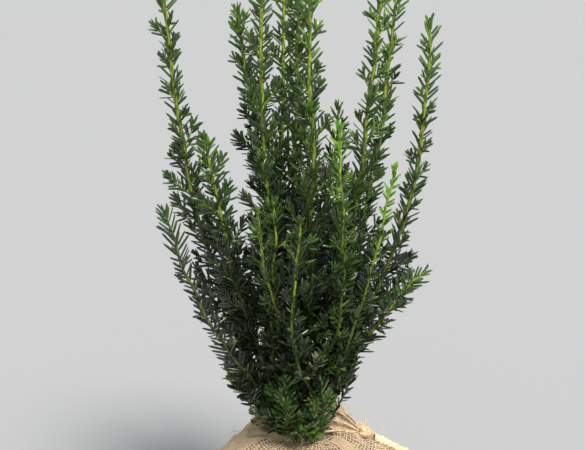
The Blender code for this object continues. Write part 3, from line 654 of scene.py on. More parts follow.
def clothe(crown, points, chance, value_at, gap, length_share, ranks, lean_share=1.0, bare=0.0):
    """Needles along a shoot, closing in and shorter at its tip; ranks is how far they lie in two rows."""
    lengths = along(points)
    whole = lengths[-1]
    at = 0
    distance = bare + chance.uniform(0, gap)
    turn = chance.uniform(0, 360)
    tip_zone = min(TIP_ZONE, TIP_ZONE_SHARE * whole)
    at_right = points[-1].x > COLLAR.x + NEEDLE_SLACK_RIGHT_FROM
    slack = chance.uniform(*(NEEDLE_SLACK_RIGHT if at_right else NEEDLE_SLACK))
    behind = points[-1].y > BACK_FROM and chance.random() < TURNED_BACK
    while distance < whole:
        while at < len(lengths) - 2 and lengths[at + 1] < distance:
            at += 1
        share = (distance - lengths[at]) / (lengths[at + 1] - lengths[at])
        root = points[at].lerp(points[at + 1], min(1.0, share))
        axis = (points[at + 1] - points[at]).normalized()
        below = whole - distance
        close = max(0.0, 1 - below / tip_zone)
        lean = NEEDLE_LEAN * lean_share
        lean = math.radians(lean + (NEEDLE_TIP_LEAN - lean) * close + chance.gauss(0, NEEDLE_STRAY))
        turn += GOLDEN_ANGLE + chance.gauss(0, NEEDLE_STRAY)
        facing = facing_at(root, behind)
        way, face = needle_way(chance, axis, facing, lean, turn, ranks if close < ROWS_END_AT else 0.0)
        size = needle_length(root) * length_share * (1 - SHORTER_AT_TIP * close)
        size *= chance.uniform(*NEEDLE_LENGTH_SPREAD)
        grow_needle(crown, chance, root, way, face, size, slack, value_at(root, below))
        distance += gap * (1 - CLOSER_AT_TIP * close) * chance.uniform(*GAP_SPREAD)


def side_path(root, way, axis, length):
    """A side twig that leaves along way and turns up towards the shoot that bears it."""
    end_way = (way * 0.6 + axis * 0.3 + Vector((0, 0, 0.3))).normalized()
    end = root + (way * 0.65 + end_way * 0.35).normalized() * length
    return smooth_path(root, way, end, end_way, max(4, round(length / LATERAL_STATION_STEP)))


def branch_out(crown, name, points, chance, lift_at, bare, size_share, step_share):
    """Side twigs up a shoot, longer the further they are from its tip, with twiglets on the longest."""
    lengths = along(points)
    whole = lengths[-1]
    distance = bare
    turn = chance.uniform(0, 360)
    while distance < whole - BARE_TIP:
        i = min(len(points) - 2, int(np.searchsorted(lengths, distance)))
        root = points[i]
        axis = (points[min(i + 2, len(points) - 1)] - points[max(0, i - 1)]).normalized()
        below = whole - distance
        size = between(LATERAL_SIZES, below) * size_share * chance.uniform(*LATERAL_SPREAD)
        for _ in range(LATERAL_TRIES):
            turn += GOLDEN_ANGLE
            lean = math.radians(chance.uniform(*LATERAL_LEAN))
            path = side_path(root, around(axis, math.radians(turn), lean), axis, size)
            if crown.holds(name, path[len(path) // 2 :: max(1, len(path) // 5)]):
                value = spray_value(root, below) + lift_at(below)
                # Low side twigs may take the faded tone: dry needles, and partly painted highlights of
                # sun-hit needles
                faded_and_glint = habit(name, "faded_and_glint") if root.z - COLLAR.z < FADED_AND_GLINT_BELOW else 0.0
                grow_side(crown, name, path, chance, FADED_AND_GLINT if chance.random() < faded_and_glint else value, size)
                break
            size = max(LATERAL_LEAST, size * LATERAL_SHRINK)
        height = held((root.z - COLLAR.z) / LATERALS_HIGH_FROM)
        step = LATERAL_STEP_LOW + (LATERAL_STEP_HIGH - LATERAL_STEP_LOW) * height
        distance += step * step_share * chance.uniform(*GAP_SPREAD)


def twig_kind(place):
    return next(kind for kind, top in TWIG_ZONES if place.z - COLLAR.z < top)


def grow_side(crown, name, path, chance, value, size):
    """A side twig, lighter at its tip, its needles in two rows where it droops and all round if small."""
    count = len(path)
    kind = "twigs_fresh" if FRESH_TWIG_FROM < value < FADED_AND_GLINT else twig_kind(path[0])
    crown.twig(kind, path, tapering(LATERAL_STATIONS, count, 0.75 + 4.0 * size))
    value = value + chance.gauss(0, 0.05) if value < FADED_AND_GLINT else value + 0.2
    tuft = 0.10 if size < 0.035 else 0.06

    def value_at(_, below):
        return value + tuft * max(0.0, 1 - below / 0.02)

    way = (path[-1] - path[0]).normalized()
    ranks = 0.35 if size < 0.03 and way.z > 0.6 else 0.85 if way.z < 0.5 else 0.55
    share = chance.uniform(0.82, 1.0) * (0.84 if size < 0.026 else 1.0)
    clothe(crown, path, chance, value_at, NEEDLE_GAP_SIDE, share, ranks, bare=0.003)
    for _ in range(sum(size > least for least in TWIGLETS_FROM)):
        i = chance.randrange(count // 5, int(count * 0.75))
        axis = (path[i + 1] - path[i]).normalized()
        way = around(axis, chance.uniform(0, math.tau), math.radians(chance.uniform(*TWIGLET_LEAN)))
        twiglet = side_path(path[i], way, axis, chance.uniform(*TWIGLET_LENGTHS))
        if crown.holds(name, [twiglet[-1]]):
            crown.twig(kind, twiglet, [0.0010 - 0.0001 * k for k in range(len(twiglet))])
            clothe(crown, twiglet, chance, value_at, NEEDLE_GAP_SIDE, share * 0.92, ranks=0.5, bare=0.002)


def grow_leader(crown, name, path):
    """A leading shoot, whose stem goes from old to green towards its tip."""
    chance = random.Random(SEED + name)
    path = cut_short(path, SHORT_OF_TIP)
    lift = habit(name, "lift") + chance.gauss(0, 0.02)
    fresh = name == "shoot_right_fresh"
    count = len(path)
    slim = SLIM_STEM if along(path)[-1] < SLIM_BELOW else 1.0
    radii = tapering(LEADER_STATIONS, count, slim)
    first = 0
    for kind, top in STEM_ZONES:
        last = min(count - 1, round(count * top / habit(name, "age")))
        if last > first:
            kind = "twigs_fresh" if fresh and kind == "twigs_light" else kind
            crown.twig(kind, path[first : last + 1], radii[first : last + 1])
            first = last

    def lift_at(below):
        return lift + (between(LIFT_OF_FRESH_TIP, below) if fresh else 0.0)

    def value_at(root, below):
        return spray_value(root, below) + lift_at(below)

    length, ranks, lean, spread = (habit(name, trait) for trait in ("length", "ranks", "lean", "spread"))
    gap = NEEDLE_GAP_LEADER * habit(name, "gap")
    clothe(crown, path, chance, value_at, gap, length, ranks, lean, bare=0.012)
    branch_out(crown, name, path, chance, lift_at, bare=0.014, size_share=spread, step_share=spread**-0.5)


def grow_spray(crown, name, path):
    """A low spray at the stem's foot, as far as it hangs clear of the cloth."""
    chance = random.Random(SEED + name)
    path = [point for point in path if hangs_free(point, 0.004)]
    lift = habit(name, "lift")
    crown.twig("twigs_old", path, tapering(SPRAY_STATIONS, len(path)))

    def value_at(root, below):
        return spray_value(root, 1.0) + lift + 0.08 * max(0.0, 1 - below / 0.03)

    clothe(crown, path, chance, value_at, NEEDLE_GAP_SIDE, length_share=0.95, ranks=0.8, bare=0.006)
    branch_out(crown, name, path, chance, lambda _: lift - 0.1, bare=0.012, size_share=2.0, step_share=0.8)


def grow(boughs):
    leaders, sprays = leader_paths(boughs), spray_paths()
    crown = Crown(boughs, {**leaders, **sprays})
    for name, path in leaders.items():
        grow_leader(crown, name, path)
    for name, path in sprays.items():
        grow_spray(crown, name, path)
    for name, path in boughs.items():
        chance, bare = random.Random(SEED + name), along(path)[-1] * BARE_BOUGH
        branch_out(crown, None, path, chance, lambda _: -0.22, bare, size_share=2.4, step_share=0.6)
    return crown


# Meshes from arrays


def linked(name, data):
    thing = bpy.data.objects.new(name, data)
    bpy.context.scene.collection.objects.link(thing)
    return thing


def make_object(name, corners, faces, looks, face_looks=None, uvs=None, sharp=None):
    """A smoothly shaded object from corner places and arrays of faces, each array with faces of one size."""
    mesh = bpy.data.meshes.new(name)
    corners = np.asarray(corners, dtype=np.float32).reshape(-1, 3)
    mesh.vertices.add(len(corners))
    mesh.vertices.foreach_set("co", corners.ravel())
    loops = np.concatenate([group.ravel() for group in faces]).astype(np.int32)
    sizes = np.concatenate([np.full(len(group), group.shape[1]) for group in faces])
    mesh.loops.add(len(loops))
    mesh.loops.foreach_set("vertex_index", loops)
    mesh.polygons.add(len(sizes))
    mesh.polygons.foreach_set("loop_start", (np.cumsum(sizes) - sizes).astype(np.int32))
    mesh.polygons.foreach_set("use_smooth", np.ones(len(sizes), dtype=bool))
    if face_looks is not None:
        mesh.polygons.foreach_set("material_index", np.asarray(face_looks, dtype=np.int32))
    if uvs is not None:
        layer = mesh.uv_layers.new(name="cloth")
        layer.data.foreach_set("uv", np.asarray(uvs, dtype=np.float32).reshape(-1, 2)[loops].ravel())
    mesh.update(calc_edges=True)
    mesh.validate()
    if sharp is not None:
        mesh.set_sharp_from_angle(angle=math.radians(sharp))
    for look in looks:
        mesh.materials.append(look)
    return linked(name, mesh)


class Shell:
    """Collects the corners and faces of many parts for one object."""

    def __init__(self):
        self.corners, self.faces, self.uvs, self.start = [], [], [], 0

    def add(self, corners, *faces, uvs=None):
        corners = corners.reshape(-1, 3)
        self.corners.append(corners)
        self.faces += [group + self.start for group in faces]
        self.uvs += [] if uvs is None else [uvs.reshape(-1, 2)]
        self.start += len(corners)

    def object(self, name, look):
        faces = sorted(self.faces, key=lambda group: -group.shape[1])
        uvs = np.concatenate(self.uvs) if self.uvs else None
        return make_object(name, np.concatenate(self.corners), faces, [look], uvs=uvs)


def grid_faces(rows, columns, wrap):
    """Quads between rows of corners, round each row if wrap."""
    row = np.arange(rows - 1)[:, None]
    column = np.arange(columns if wrap else columns - 1)[None, :]
    a, b = row * columns + column, row * columns + (column + 1) % columns
    return np.stack([a, b, b + columns, a + columns], axis=-1).reshape(-1, 4)


def unit(vectors):
    return vectors / np.maximum(np.linalg.norm(vectors, axis=-1, keepdims=True), 1e-12)


def needle_object(name, rows, looks):
    """Keeled needles of a few rings with four corners and a tip each; the second look is the underside's."""
    rows = np.array(rows)
    root, way, face = rows[:, 0:3], unit(rows[:, 3:6]), rows[:, 6:9]
    length, width, bend = (rows[:, i, None] for i in (9, 10, 11))
    across = unit(np.cross(way, face))
    face = unit(np.cross(across, way))
    rings = []
    for share, breadth in NEEDLE_RINGS:
        centre = root + way * (length * share) + face * (bend * length * share**2)
        half = across * (width / 2 * breadth)
        thick = width * (0.4 + 0.6 * breadth)
        above, below = face * thick * NEEDLE_TOP, face * thick * NEEDLE_BELOW
        rings += [centre - half, centre + above, centre + half, centre - below]
    corners = np.stack([*rings, root + way * length + face * (bend * length)], axis=1)
    tip = len(rings)
    sides = grid_faces(len(NEEDLE_RINGS), 4, True)
    ends = np.array([(tip - 4 + i, tip - 4 + (i + 1) % 4, tip) for i in range(4)])
    offsets = (np.arange(len(rows)) * (tip + 1))[:, None, None]
    faces = [(group[None] + offsets).reshape(-1, group.shape[1]) for group in (sides, ends)]
    face_looks = np.tile([0, 0, 1, 1], len(rows) * len(NEEDLE_RINGS))
    return make_object(name, corners, faces, looks, face_looks, sharp=60)


def swept(points, radii, sides, ridge=0.0, ridge_turn=0.0):
    """Corners of rings swept along a path, as (rings, sides, 3)."""
    points = np.array(points)
    tangents = unit(np.gradient(points, axis=0))
    frame_side = unit(np.cross(tangents[0], [0.31, 0.17, 0.93]))
    angle = np.arange(sides)[:, None] * math.tau / sides
    rows = []
    for i, (point, tangent, radius) in enumerate(zip(points, tangents, radii)):
        frame_side = unit(frame_side - tangent * frame_side.dot(tangent))
        bump = 1 + ridge * np.cos(np.arange(sides) * math.pi + ridge_turn * i)
        ring = np.cos(angle) * frame_side + np.sin(angle) * np.cross(tangent, frame_side)
        rows.append(point + ring * (radius * bump)[:, None])
    return np.array(rows)


def resampled(points, radii, step):
    """A path's places and radii again, at even distances, and those distances."""
    path = np.array(points)
    far = np.concatenate([[0], np.cumsum(np.linalg.norm(np.diff(path, axis=0), axis=1))])
    fine = np.linspace(0, far[-1], max(8, round(far[-1] / step)))
    places = np.stack([np.interp(fine, far, path[:, i]) for i in range(3)], axis=1)
    return places, np.interp(fine, far, radii), fine


def twig_object(name, twigs, sides, look):
    shell = Shell()
    for points, radii in twigs:
        rings = swept(points, radii, sides, 0.16, 1.9)
        tip = points[-1] + (points[-1] - points[-2]).normalized() * radii[-1] * 1.6
        count = len(rings) * sides
        last = count - sides + np.arange(sides)
        end = np.stack([last, np.roll(last, -1), np.full(sides, count)], axis=1)
        shell.add(np.concatenate([rings.reshape(-1, 3), [tip]]), grid_faces(len(rings), sides, True), end)
    return shell.object(name, look)


# Materials


class Paint:
    """A node material on one Principled shader, with shorthand for its nodes."""

    def __init__(self, name, roughness, **constants):
        self.material = bpy.data.materials.new(name)
        self.material.use_nodes = True
        self.tree = self.material.node_tree
        self.shader = self.tree.nodes["Principled BSDF"]
        self.fill(self.shader, {"Roughness": roughness, **constants})

    def node(self, kind, **settings):
        made = self.tree.nodes.new(kind)
        self.fill(made, settings)
        return made

    def fill(self, node, settings):
        """Sets a node's inputs by name, with _ for a space, and its properties."""
        for key, value in settings.items():
            socket = key.replace("_", " ")
            if socket in node.inputs:
                self.set(node.inputs[socket], value)
            else:
                setattr(node, key, value)

    def set(self, socket, value):
        if isinstance(value, bpy.types.NodeSocket):
            self.tree.links.new(value, socket)
        else:
            socket.default_value = value

    def noise(self, scale, stretch=(1, 1, 1), detail=3.0, rough=0.55):
        where = self.node("ShaderNodeTexCoord").outputs["Object"]
        place = self.node("ShaderNodeMapping", Vector=where, Scale=stretch).outputs["Vector"]
        made = self.node("ShaderNodeTexNoise", Scale=scale, Detail=detail, Roughness=rough, Vector=place)
        return made.outputs["Fac"]

    def ramp(self, value, stops):
        made = self.node("ShaderNodeValToRGB", Fac=value)
        while len(made.color_ramp.elements) < len(stops):
            made.color_ramp.elements.new(0.5)
        for element, (position, colour) in zip(made.color_ramp.elements, stops):
            element.position = position
            element.color = (*colour, 1.0)
        return made.outputs["Color"]

    def mix(self, share, first, second):
        made = self.node("ShaderNodeMix", data_type="RGBA")
        for index, value in ((0, share), (6, first), (7, second)):
            self.set(made.inputs[index], (*value, 1.0) if isinstance(value, tuple) else value)
        return made.outputs[2]

    def math(self, operation, *values, kind="ShaderNodeMath"):
        made = self.node(kind, operation=operation)
        for socket, value in zip(made.inputs, values):
            self.set(socket, value)
        return made.outputs[0]

    def colour(self, value):
        self.set(self.shader.inputs["Base Color"], (*value, 1.0) if isinstance(value, tuple) else value)

    def bump(self, height, distance, strength=1.0):
        made = self.node("ShaderNodeBump", Distance=distance, Strength=strength, Height=height)
        self.set(self.shader.inputs["Normal"], made.outputs["Normal"])


def needle_looks(tone, upper, under):
    top = Paint("needle_upper_" + tone, 0.30, Specular_IOR_Level=0.75)
    top.colour(upper)
    below = Paint("needle_under_" + tone, 0.58, Specular_IOR_Level=0.22)
    below.colour(under)
    return [top.material, below.material]


def twig_look(name, low, high):
    paint = Paint(name, 0.5, Specular_IOR_Level=0.35)
    # Lengthwise mottling, its strong contrast partly painted shade for the stems' shaded sides
    paint.colour(paint.ramp(paint.noise(330.0, (1, 1, 0.3)), ((0.40, low), (0.60, high))))
    paint.bump(paint.noise(900.0, (1, 1, 0.3)), 0.0006, 0.6)
    return paint.material


def bark_look():
    paint = Paint("bark_flaking", 0.85, Specular_IOR_Level=0.25)
    flakes = paint.noise(160.0, (1, 1, 0.35), 6.0, 0.65)
    stops = ((0.3, (0.030, 0.020, 0.012)), (0.5, (0.075, 0.050, 0.028)), (0.72, (0.16, 0.115, 0.065)))
    paint.colour(paint.ramp(flakes, stops))
    paint.bump(flakes, 0.0016, 0.9)
    return paint.material


def sacking_look(name, period, gap_share, light):
    """Woven jute: two sets of slightly wavy yarns along the cloth's own directions, with dark gaps between
    them, partly soil and partly painted shade.
    """
    paint = Paint(name, 0.92, Specular_IOR_Level=0.15, Sheen_Weight=0.25, Sheen_Roughness=0.6)
    uv = paint.node("ShaderNodeUVMap", uv_map="cloth").outputs["UV"]
    waver = paint.node("ShaderNodeTexNoise", Scale=90.0, Detail=2.0, Vector=uv).outputs["Color"]
    moved = paint.math("MULTIPLY_ADD", waver, (0.0022, 0.0022, 0.0), uv, kind="ShaderNodeVectorMath")
    split = paint.node("ShaderNodeSeparateXYZ", Vector=moved)

    def yarn(axis):
        wave = paint.math("SINE", paint.math("MULTIPLY", split.outputs[axis], math.pi / period))
        return paint.math("ABSOLUTE", wave)

    height = paint.math("MAXIMUM", yarn("X"), yarn("Y"))
    yarns = paint.node("ShaderNodeMapRange", interpolation_type="SMOOTHSTEP", Value=height)
    paint.fill(yarns, {"From_Min": gap_share, "From_Max": min(1.0, gap_share + 0.16)})
    fibres = paint.noise(700.0, detail=4.0, rough=0.7)
    straw = paint.ramp(fibres, ((0.3, tuple(c * 0.62 for c in light)), (0.62, light)))
    stained = paint.mix(paint.math("MULTIPLY", paint.noise(16.0), 0.45), straw, (0.24, 0.15, 0.075))
    # Near-black between the yarns: partly soil seen through the weave, partly painted shade in its hollows
    paint.colour(paint.mix(yarns.outputs[0], (0.055, 0.034, 0.02), stained))
    paint.bump(paint.math("ADD", height, paint.math("MULTIPLY", fibres, 0.35)), 0.0013, 0.9)
    return paint.material


def yarn_look(name, dark, light):
    paint = Paint(name, 0.9, Specular_IOR_Level=0.15, Sheen_Weight=0.3, Sheen_Roughness=0.5)
    fine = paint.ramp(paint.noise(350.0, detail=4.0, rough=0.7), ((0.32, dark), (0.66, light)))
    patches = paint.ramp(paint.noise(14.0, detail=4.0), ((0.48, (0, 0, 0)), (0.78, (0.42, 0.42, 0.42))))
    paint.colour(paint.mix(patches, fine, tuple(c * 0.6 for c in dark)))
    paint.bump(paint.noise(1300.0), 0.0004, 0.7)
    return paint.material


def floor_look():
    paint = Paint("pale_floor", 0.85, Specular_IOR_Level=0.1)
    paint.colour((0.415, 0.425, 0.44))
    return paint.material


def bark_object(boughs, look):
    """The stem with its flared foot and the boughs, one skin each, roughened by flaking bark."""
    limbs = [([stem_middle(height) for height, _ in STEM_STATIONS], [radius for _, radius in STEM_STATIONS])]
    for path in boughs.values():
        step = (BOUGH_TIP_RADIUS - BOUGH_FORK_RADIUS) / (len(path) - 1)
        limbs.append((path, [BOUGH_FORK_RADIUS + step * i for i in range(len(path))]))
    shell = Shell()
    for points, radii in limbs:
        path, widths, _ = resampled(points, radii, BARK_STEP)
        rings = swept(path, widths, BARK_SIDES)
        for ring, middle in zip(rings, path):
            for corner in ring:
                spot = Vector(corner)
                grain = noise.noise(Vector((spot.x * 260, spot.y * 260, spot.z * 70)))
                corner += unit(corner - middle) * (BARK_GRAIN * grain + BARK_LUMPS * noise.noise(spot * 60))
        rings[0, :, 2] = np.maximum(rings[0, :, 2], 0.0)
        shell.add(rings, grid_faces(len(path), BARK_SIDES, True))
    return shell.object("bark", look)


# Sacking


def ball_profile(steps):
    """The ball's half outline from its top to its foot's middle, as radii, heights and distances."""
    angle = np.linspace(0, math.pi / 2, 60)
    shoulder = BALL_RADIUS - BALL_TOP_FLAT_RADIUS
    dome = BALL_HEIGHT - BALL_BELLY_HEIGHT
    undercut = BALL_RADIUS - BALL_FOOT_RADIUS
    top_r = BALL_TOP_FLAT_RADIUS + shoulder * np.sin(angle) ** (2 / BALL_TOP_ROUNDNESS)
    top_z = BALL_BELLY_HEIGHT + dome * np.cos(angle) ** (2 / BALL_TOP_ROUNDNESS)
    low_r = BALL_FOOT_RADIUS + undercut * np.cos(angle) ** (2 / BALL_FOOT_ROUNDNESS)
    low_z = BALL_BELLY_HEIGHT * (1 - np.sin(angle) ** (2 / BALL_FOOT_ROUNDNESS))
    r = np.concatenate([[0.0], top_r, low_r[1:], [0.0]])
    z = np.concatenate([[BALL_HEIGHT], top_z, low_z[1:], [0.0]])
    far = np.concatenate([[0], np.cumsum(np.hypot(np.diff(r), np.diff(z)))])
    fine = np.linspace(0, far[-1], steps)
    return np.interp(fine, far, r), np.interp(fine, far, z), fine


def noise_at(points, scale, seed):
    """Smooth noise between -1 and 1 at an array of places."""
    flat = (np.asarray(points) * scale + seed).reshape(-1, 3)
    return np.array([noise.noise(Vector(p)) for p in flat]).reshape(np.shape(points)[:-1])


def relief(turn, radius, height):
    """How far the cloth stands off the even ball: lumps of soil, and pleats that gather at the stem."""
    places = np.stack([radius * np.cos(turn), radius * np.sin(turn), height], axis=-1)
    lump = sum(size * noise_at(places, scale, seed) for size, scale, seed in LUMPS)
    wander = 1.5 * noise_at(places, 9, 11.3)
    pleat = sum(
        size * (1 - np.abs(np.sin(count / 2 * turn + start + wander))) ** 3
        for count, start, size in PLEATS
    )
    upper = np.clip((height - 0.05) / 0.11, 0, 1)
    clear = np.clip((radius - 0.026) / 0.035, 0, 1)
    foot = np.clip(height / 0.02, 0, 1)
    push = (lump * clear + pleat * upper * clear * np.clip(radius / 0.10, 0.3, 1)) * foot
    return np.where(height < 0.0005, 0.0, push - SKIN_DEPTH)


class Skin:
    """The ball's cloth surface: lumpy with soil inside, pleated towards the stem, flat underneath."""

    def __init__(self):
        self.r, self.z, self.far = ball_profile(SKIN_ROWS)
        self.turn = np.linspace(0, math.tau, SKIN_COLUMNS, endpoint=False)
        turn, radius = np.meshgrid(self.turn, self.r)
        height = np.repeat(self.z[:, None], SKIN_COLUMNS, axis=1)
        push = relief(turn, radius, height)
        slope_r, slope_z = np.gradient(self.z) * -1, np.gradient(self.r)
        size = np.hypot(slope_r, slope_z)
        out = radius + (slope_r / size)[:, None] * push
        up = np.maximum(height + (slope_z / size)[:, None] * push, 0.0)
        self.places = np.stack(slumped(out * np.cos(turn), out * np.sin(turn), up), axis=-1)
        down = np.gradient(self.places, axis=0)
        round_about = np.roll(self.places, -1, axis=1) - np.roll(self.places, 1, axis=1)
        round_about[0] = round_about[1]
        round_about[-1] = round_about[-2]
        self.normals = unit(np.cross(down, round_about))
        self.normals[0] = (0, 0, 1)
        self.normals[-1] = (0, 0, -1)

    def at(self, turn, far, lift=0.0):
        """Places and normals on the skin, by angle round the ball and distance from its top's middle."""
        turn, far = np.broadcast_arrays(np.asarray(turn, dtype=float), np.asarray(far, dtype=float))
        row = np.clip(far / self.far[-1] * (SKIN_ROWS - 1), 0, SKIN_ROWS - 1.001)
        column = (turn / math.tau * SKIN_COLUMNS) % SKIN_COLUMNS
        i, j = row.astype(int), column.astype(int)
        a, b = (row - i)[..., None], (column - j)[..., None]
        after = (j + 1) % SKIN_COLUMNS

        def blend(grid):
            near = grid[i, j] * (1 - b) + grid[i, after] * b
            return near * (1 - a) + (grid[i + 1, j] * (1 - b) + grid[i + 1, after] * b) * a

        normals = unit(blend(self.normals))
        return blend(self.places) + normals * np.asarray(lift)[..., None], normals

    def radius_at(self, far):
        return np.interp(far, self.far, self.r)

    def far_at(self, radius):
        """Distance from the top's middle at which the upper side reaches a radius."""
        belly = int(np.argmax(self.r))
        return float(np.interp(radius, self.r[:belly], self.far[:belly]))

    def lay(self, x, y, lift):
        """A place on the upper side under x and y, and its normal."""
        even = even_x(x)
        place, normal = self.at(math.atan2(y, even), self.far_at(math.hypot(even, y)), lift)
        return Vector(place), Vector(normal)


def skin_object(skin, look):
    """The inner layer of cloth, closed all round."""
    faces = grid_faces(SKIN_ROWS, SKIN_COLUMNS, True)[:, ::-1]
    uvs = np.stack(np.meshgrid(skin.turn * BALL_RADIUS, skin.far), axis=-1)
    return make_object("sacking_inner", skin.places, [faces], [look], uvs=uvs)


def flat_tube(places, normals, half_width, half_height):
    """Rings of four corners round an array of places, flattened against the surface below."""
    tangents = unit(np.gradient(places, axis=0))
    across = unit(np.cross(tangents, normals))
    wide = across * np.reshape(half_width, (-1, 1))
    high = normals * np.reshape(half_height, (-1, 1))
    return np.stack([places - wide, places + high, places + wide, places - high], axis=1)


def tubes_object(name, tubes, look):
    """One object from many tubes, each an array of rings, those of four corners closed at both ends."""
    shell = Shell()
    for rings in tubes:
        count, sides = rings.shape[:2]
        ends = np.array([[3, 2, 1, 0], np.arange(4) + (count - 1) * 4])
        shell.add(rings, grid_faces(count, sides, True), *([ends] if sides == 4 else []))
    return shell.object(name, look)


def net(skin):
    """The outer layer's yarns, woven over and under: those that run up to the stem, and those round it."""
    chance = random.Random(SEED + "net")
    count = 4 * round(math.tau * BALL_RADIUS / MESH_SIZE / 4)
    foot = float(np.interp(BALL_HEIGHT * 0.03, skin.z[::-1], skin.far[::-1]))
    levels = np.arange(NET_TOP, foot, MESH_SIZE)
    radii = skin.radius_at(levels)
    strides = np.where(radii > 0.088, 1, np.where(radii > 0.05, 2, 4))

    def drift(turn, far, seed):
        where = np.stack([np.cos(turn), np.sin(turn), far / 0.16], axis=-1)
        return noise_at(where, 1.6, seed) * 0.012 + noise_at(where, 9.0, seed) * 0.0020

    def yarn(turn, far, over):
        places, normals = skin.at(turn, far, NET_LIFT + WEAVE_LIFT * over)
        width = np.full(len(far), YARN_HALF_WIDTH * chance.uniform(0.75, 1.3))
        return flat_tube(places, normals, width, 0.6 * width)

    upright_yarns, round_yarns = [], []
    for k in range(count):
        rows = np.nonzero(k % strides == 0)[0]
        rows = rows[rows >= rows[0] + chance.randrange(3)]
        far = levels[rows]
        turn = math.tau * (k + chance.uniform(-0.14, 0.14)) / count
        turn = turn + drift(np.full(len(far), turn), far, 2.3) / np.maximum(0.05, radii[rows])
        upright_yarns.append(yarn(turn, far, (-1.0) ** (k // strides[rows] + rows)))
    for j, level in enumerate(levels):
        k = np.arange(0, count + 1, strides[j])
        turn = math.tau * k / count
        far = level + chance.uniform(-0.0005, 0.0005) + drift(turn, np.full(len(k), level), 8.9)
        over = (-1.0) ** (k // strides[j] + j + 1)
        round_yarns.append(yarn(turn, np.clip(far, NET_TOP, foot), over))
    return upright_yarns, round_yarns


def crumpled_strip(skin, route, half_widths, lift, seed, rows=70, columns=17):
    """A folded strip of cloth on the skin: a grid of places, thickest along its middle, and its UVs."""
    route = np.array(route)
    far_along = np.linspace(0, 1, rows)
    knots = np.linspace(0, 1, len(route))
    turn = np.radians(np.interp(far_along, knots, route[:, 0]))
    radius = np.interp(far_along, knots, route[:, 1])
    half = np.interp(far_along, np.linspace(0, 1, len(half_widths)), half_widths)
    far = np.array([skin.far_at(r) for r in radius])
    across = np.linspace(-1, 1, columns)
    turns = turn[:, None] + across[None] * half[:, None] / np.maximum(0.03, radius)[:, None]
    fars = np.repeat(far[:, None], columns, axis=1)
    where = np.stack([turns * 2, fars * 14, np.broadcast_to(across * 1.2, turns.shape)], axis=-1)
    crease = 1 - np.abs(noise_at(where, 1.7, seed)) * 2.2
    crown = np.clip(1 - np.abs(across) ** 3, 0, 1)[None] * np.clip(crease, 0.25, 1)
    places, _ = skin.at(turns, fars, 0.0011 + lift * crown)
    uvs = np.meshgrid(across * half.mean(), far_along * abs(far[-1] - far[0]))
    return places, np.stack(uvs, axis=-1)


def rolled_cloth(points, radii, seed, twist=420.0, sides=20):
    """Rings of a roll of cloth, ridged by its twist and lumpy."""
    spots, widths, fine = resampled(points, radii, 0.0012)
    for _ in range(3):
        spots[1:-1] = (spots[:-2] + 2 * spots[1:-1] + spots[2:]) / 4
    rings = swept(spots, widths, sides)
    angle = np.arange(sides)[None] * math.tau / sides
    ridge = (1 - np.abs(np.sin(1.5 * angle + fine[:, None] * twist))) ** 1.5 * 0.34 - 0.12
    ridge = ridge + 0.12 * np.cos(7 * angle + fine[:, None] * twist * 1.4)
    ridge = ridge + 0.30 * noise_at(rings, 140, seed)
    return spots[:, None] + (rings - spots[:, None]) * (1 + ridge)[..., None]


def any_way(chance):
    return Vector([chance.gauss(0, 1) for _ in range(3)])


def fibre(chance, start, way, length, curl):
    """A loose curly fibre as a thin tapering tube that stays above the ball."""
    points, spot, heading = [], Vector(start), Vector(way).normalized()
    steps = max(5, round(length / FIBRE_STEP))
    bend = any_way(chance) * curl
    for _ in range(steps):
        points.append(tuple(spot))
        bend = bend * 0.86 + any_way(chance) * curl * 0.5
        heading = (heading + bend).normalized()
        spot = spot + heading * (length / steps)
        floor = ball_height(spot.x, spot.y) + 0.0008
        if spot.z < floor:
            spot.z = floor
            heading.z = abs(heading.z) * 0.3
    thick = chance.uniform(*FIBRE_RADII)
    return swept(points, [thick * (1 - 0.6 * i / (steps - 1)) for i in range(steps)], 3)


def knot_path(skin):
    """The knot's middle on the cloth, and a small trefoil round it, as a tied corner of cloth winds."""
    middle, up = skin.lay(*KNOT_PLACE, KNOT_LIFT)
    across = up.cross(Vector((*KNOT_PLACE, 0)).normalized()).normalized()
    along_way = across.cross(up).normalized()
    points = []
    for i in range(72):
        t = math.tau * i / 71
        x = (math.sin(t) + 2 * math.sin(2 * t)) / 3
        y = (math.cos(t) - 2 * math.cos(2 * t)) / 3
        z = -math.sin(3 * t) * 0.42
        points.append(middle + (along_way * x + across * y * 0.8 + up * z) * KNOT_REACH)
    return middle, points


def band_paths(skin):
    """Where the rolled cloth lies to the right of the knot and round the back, each with its radii."""
    knot_x, knot_y = KNOT_PLACE
    shares = np.linspace(0, 1, 24)
    radii = [between(ROLL_STATIONS, share) for share in shares]
    right, back = [], []
    for share, radius in zip(shares, radii):
        x, y = knot_x + ROLL_START + ROLL_RUN * share, knot_y + ROLL_DRIFT * ROLL_RUN * share
        right.append(skin.lay(x, y, radius * (0.9 - 0.35 * share))[0])
    for angle in np.radians(np.linspace(*BACK_ROLL_ANGLES, BACK_ROLL_SPOTS)):
        x, y = COLLAR.x + BACK_ROLL_HALF_WIDTH * math.cos(angle), knot_y + BACK_ROLL_DEPTH * math.sin(angle)
        back.append(skin.lay(x, y, BACK_ROLL_LIFT)[0])
    return (right, radii), (back, [0.0064 - 0.00006 * i for i in range(BACK_ROLL_SPOTS)])


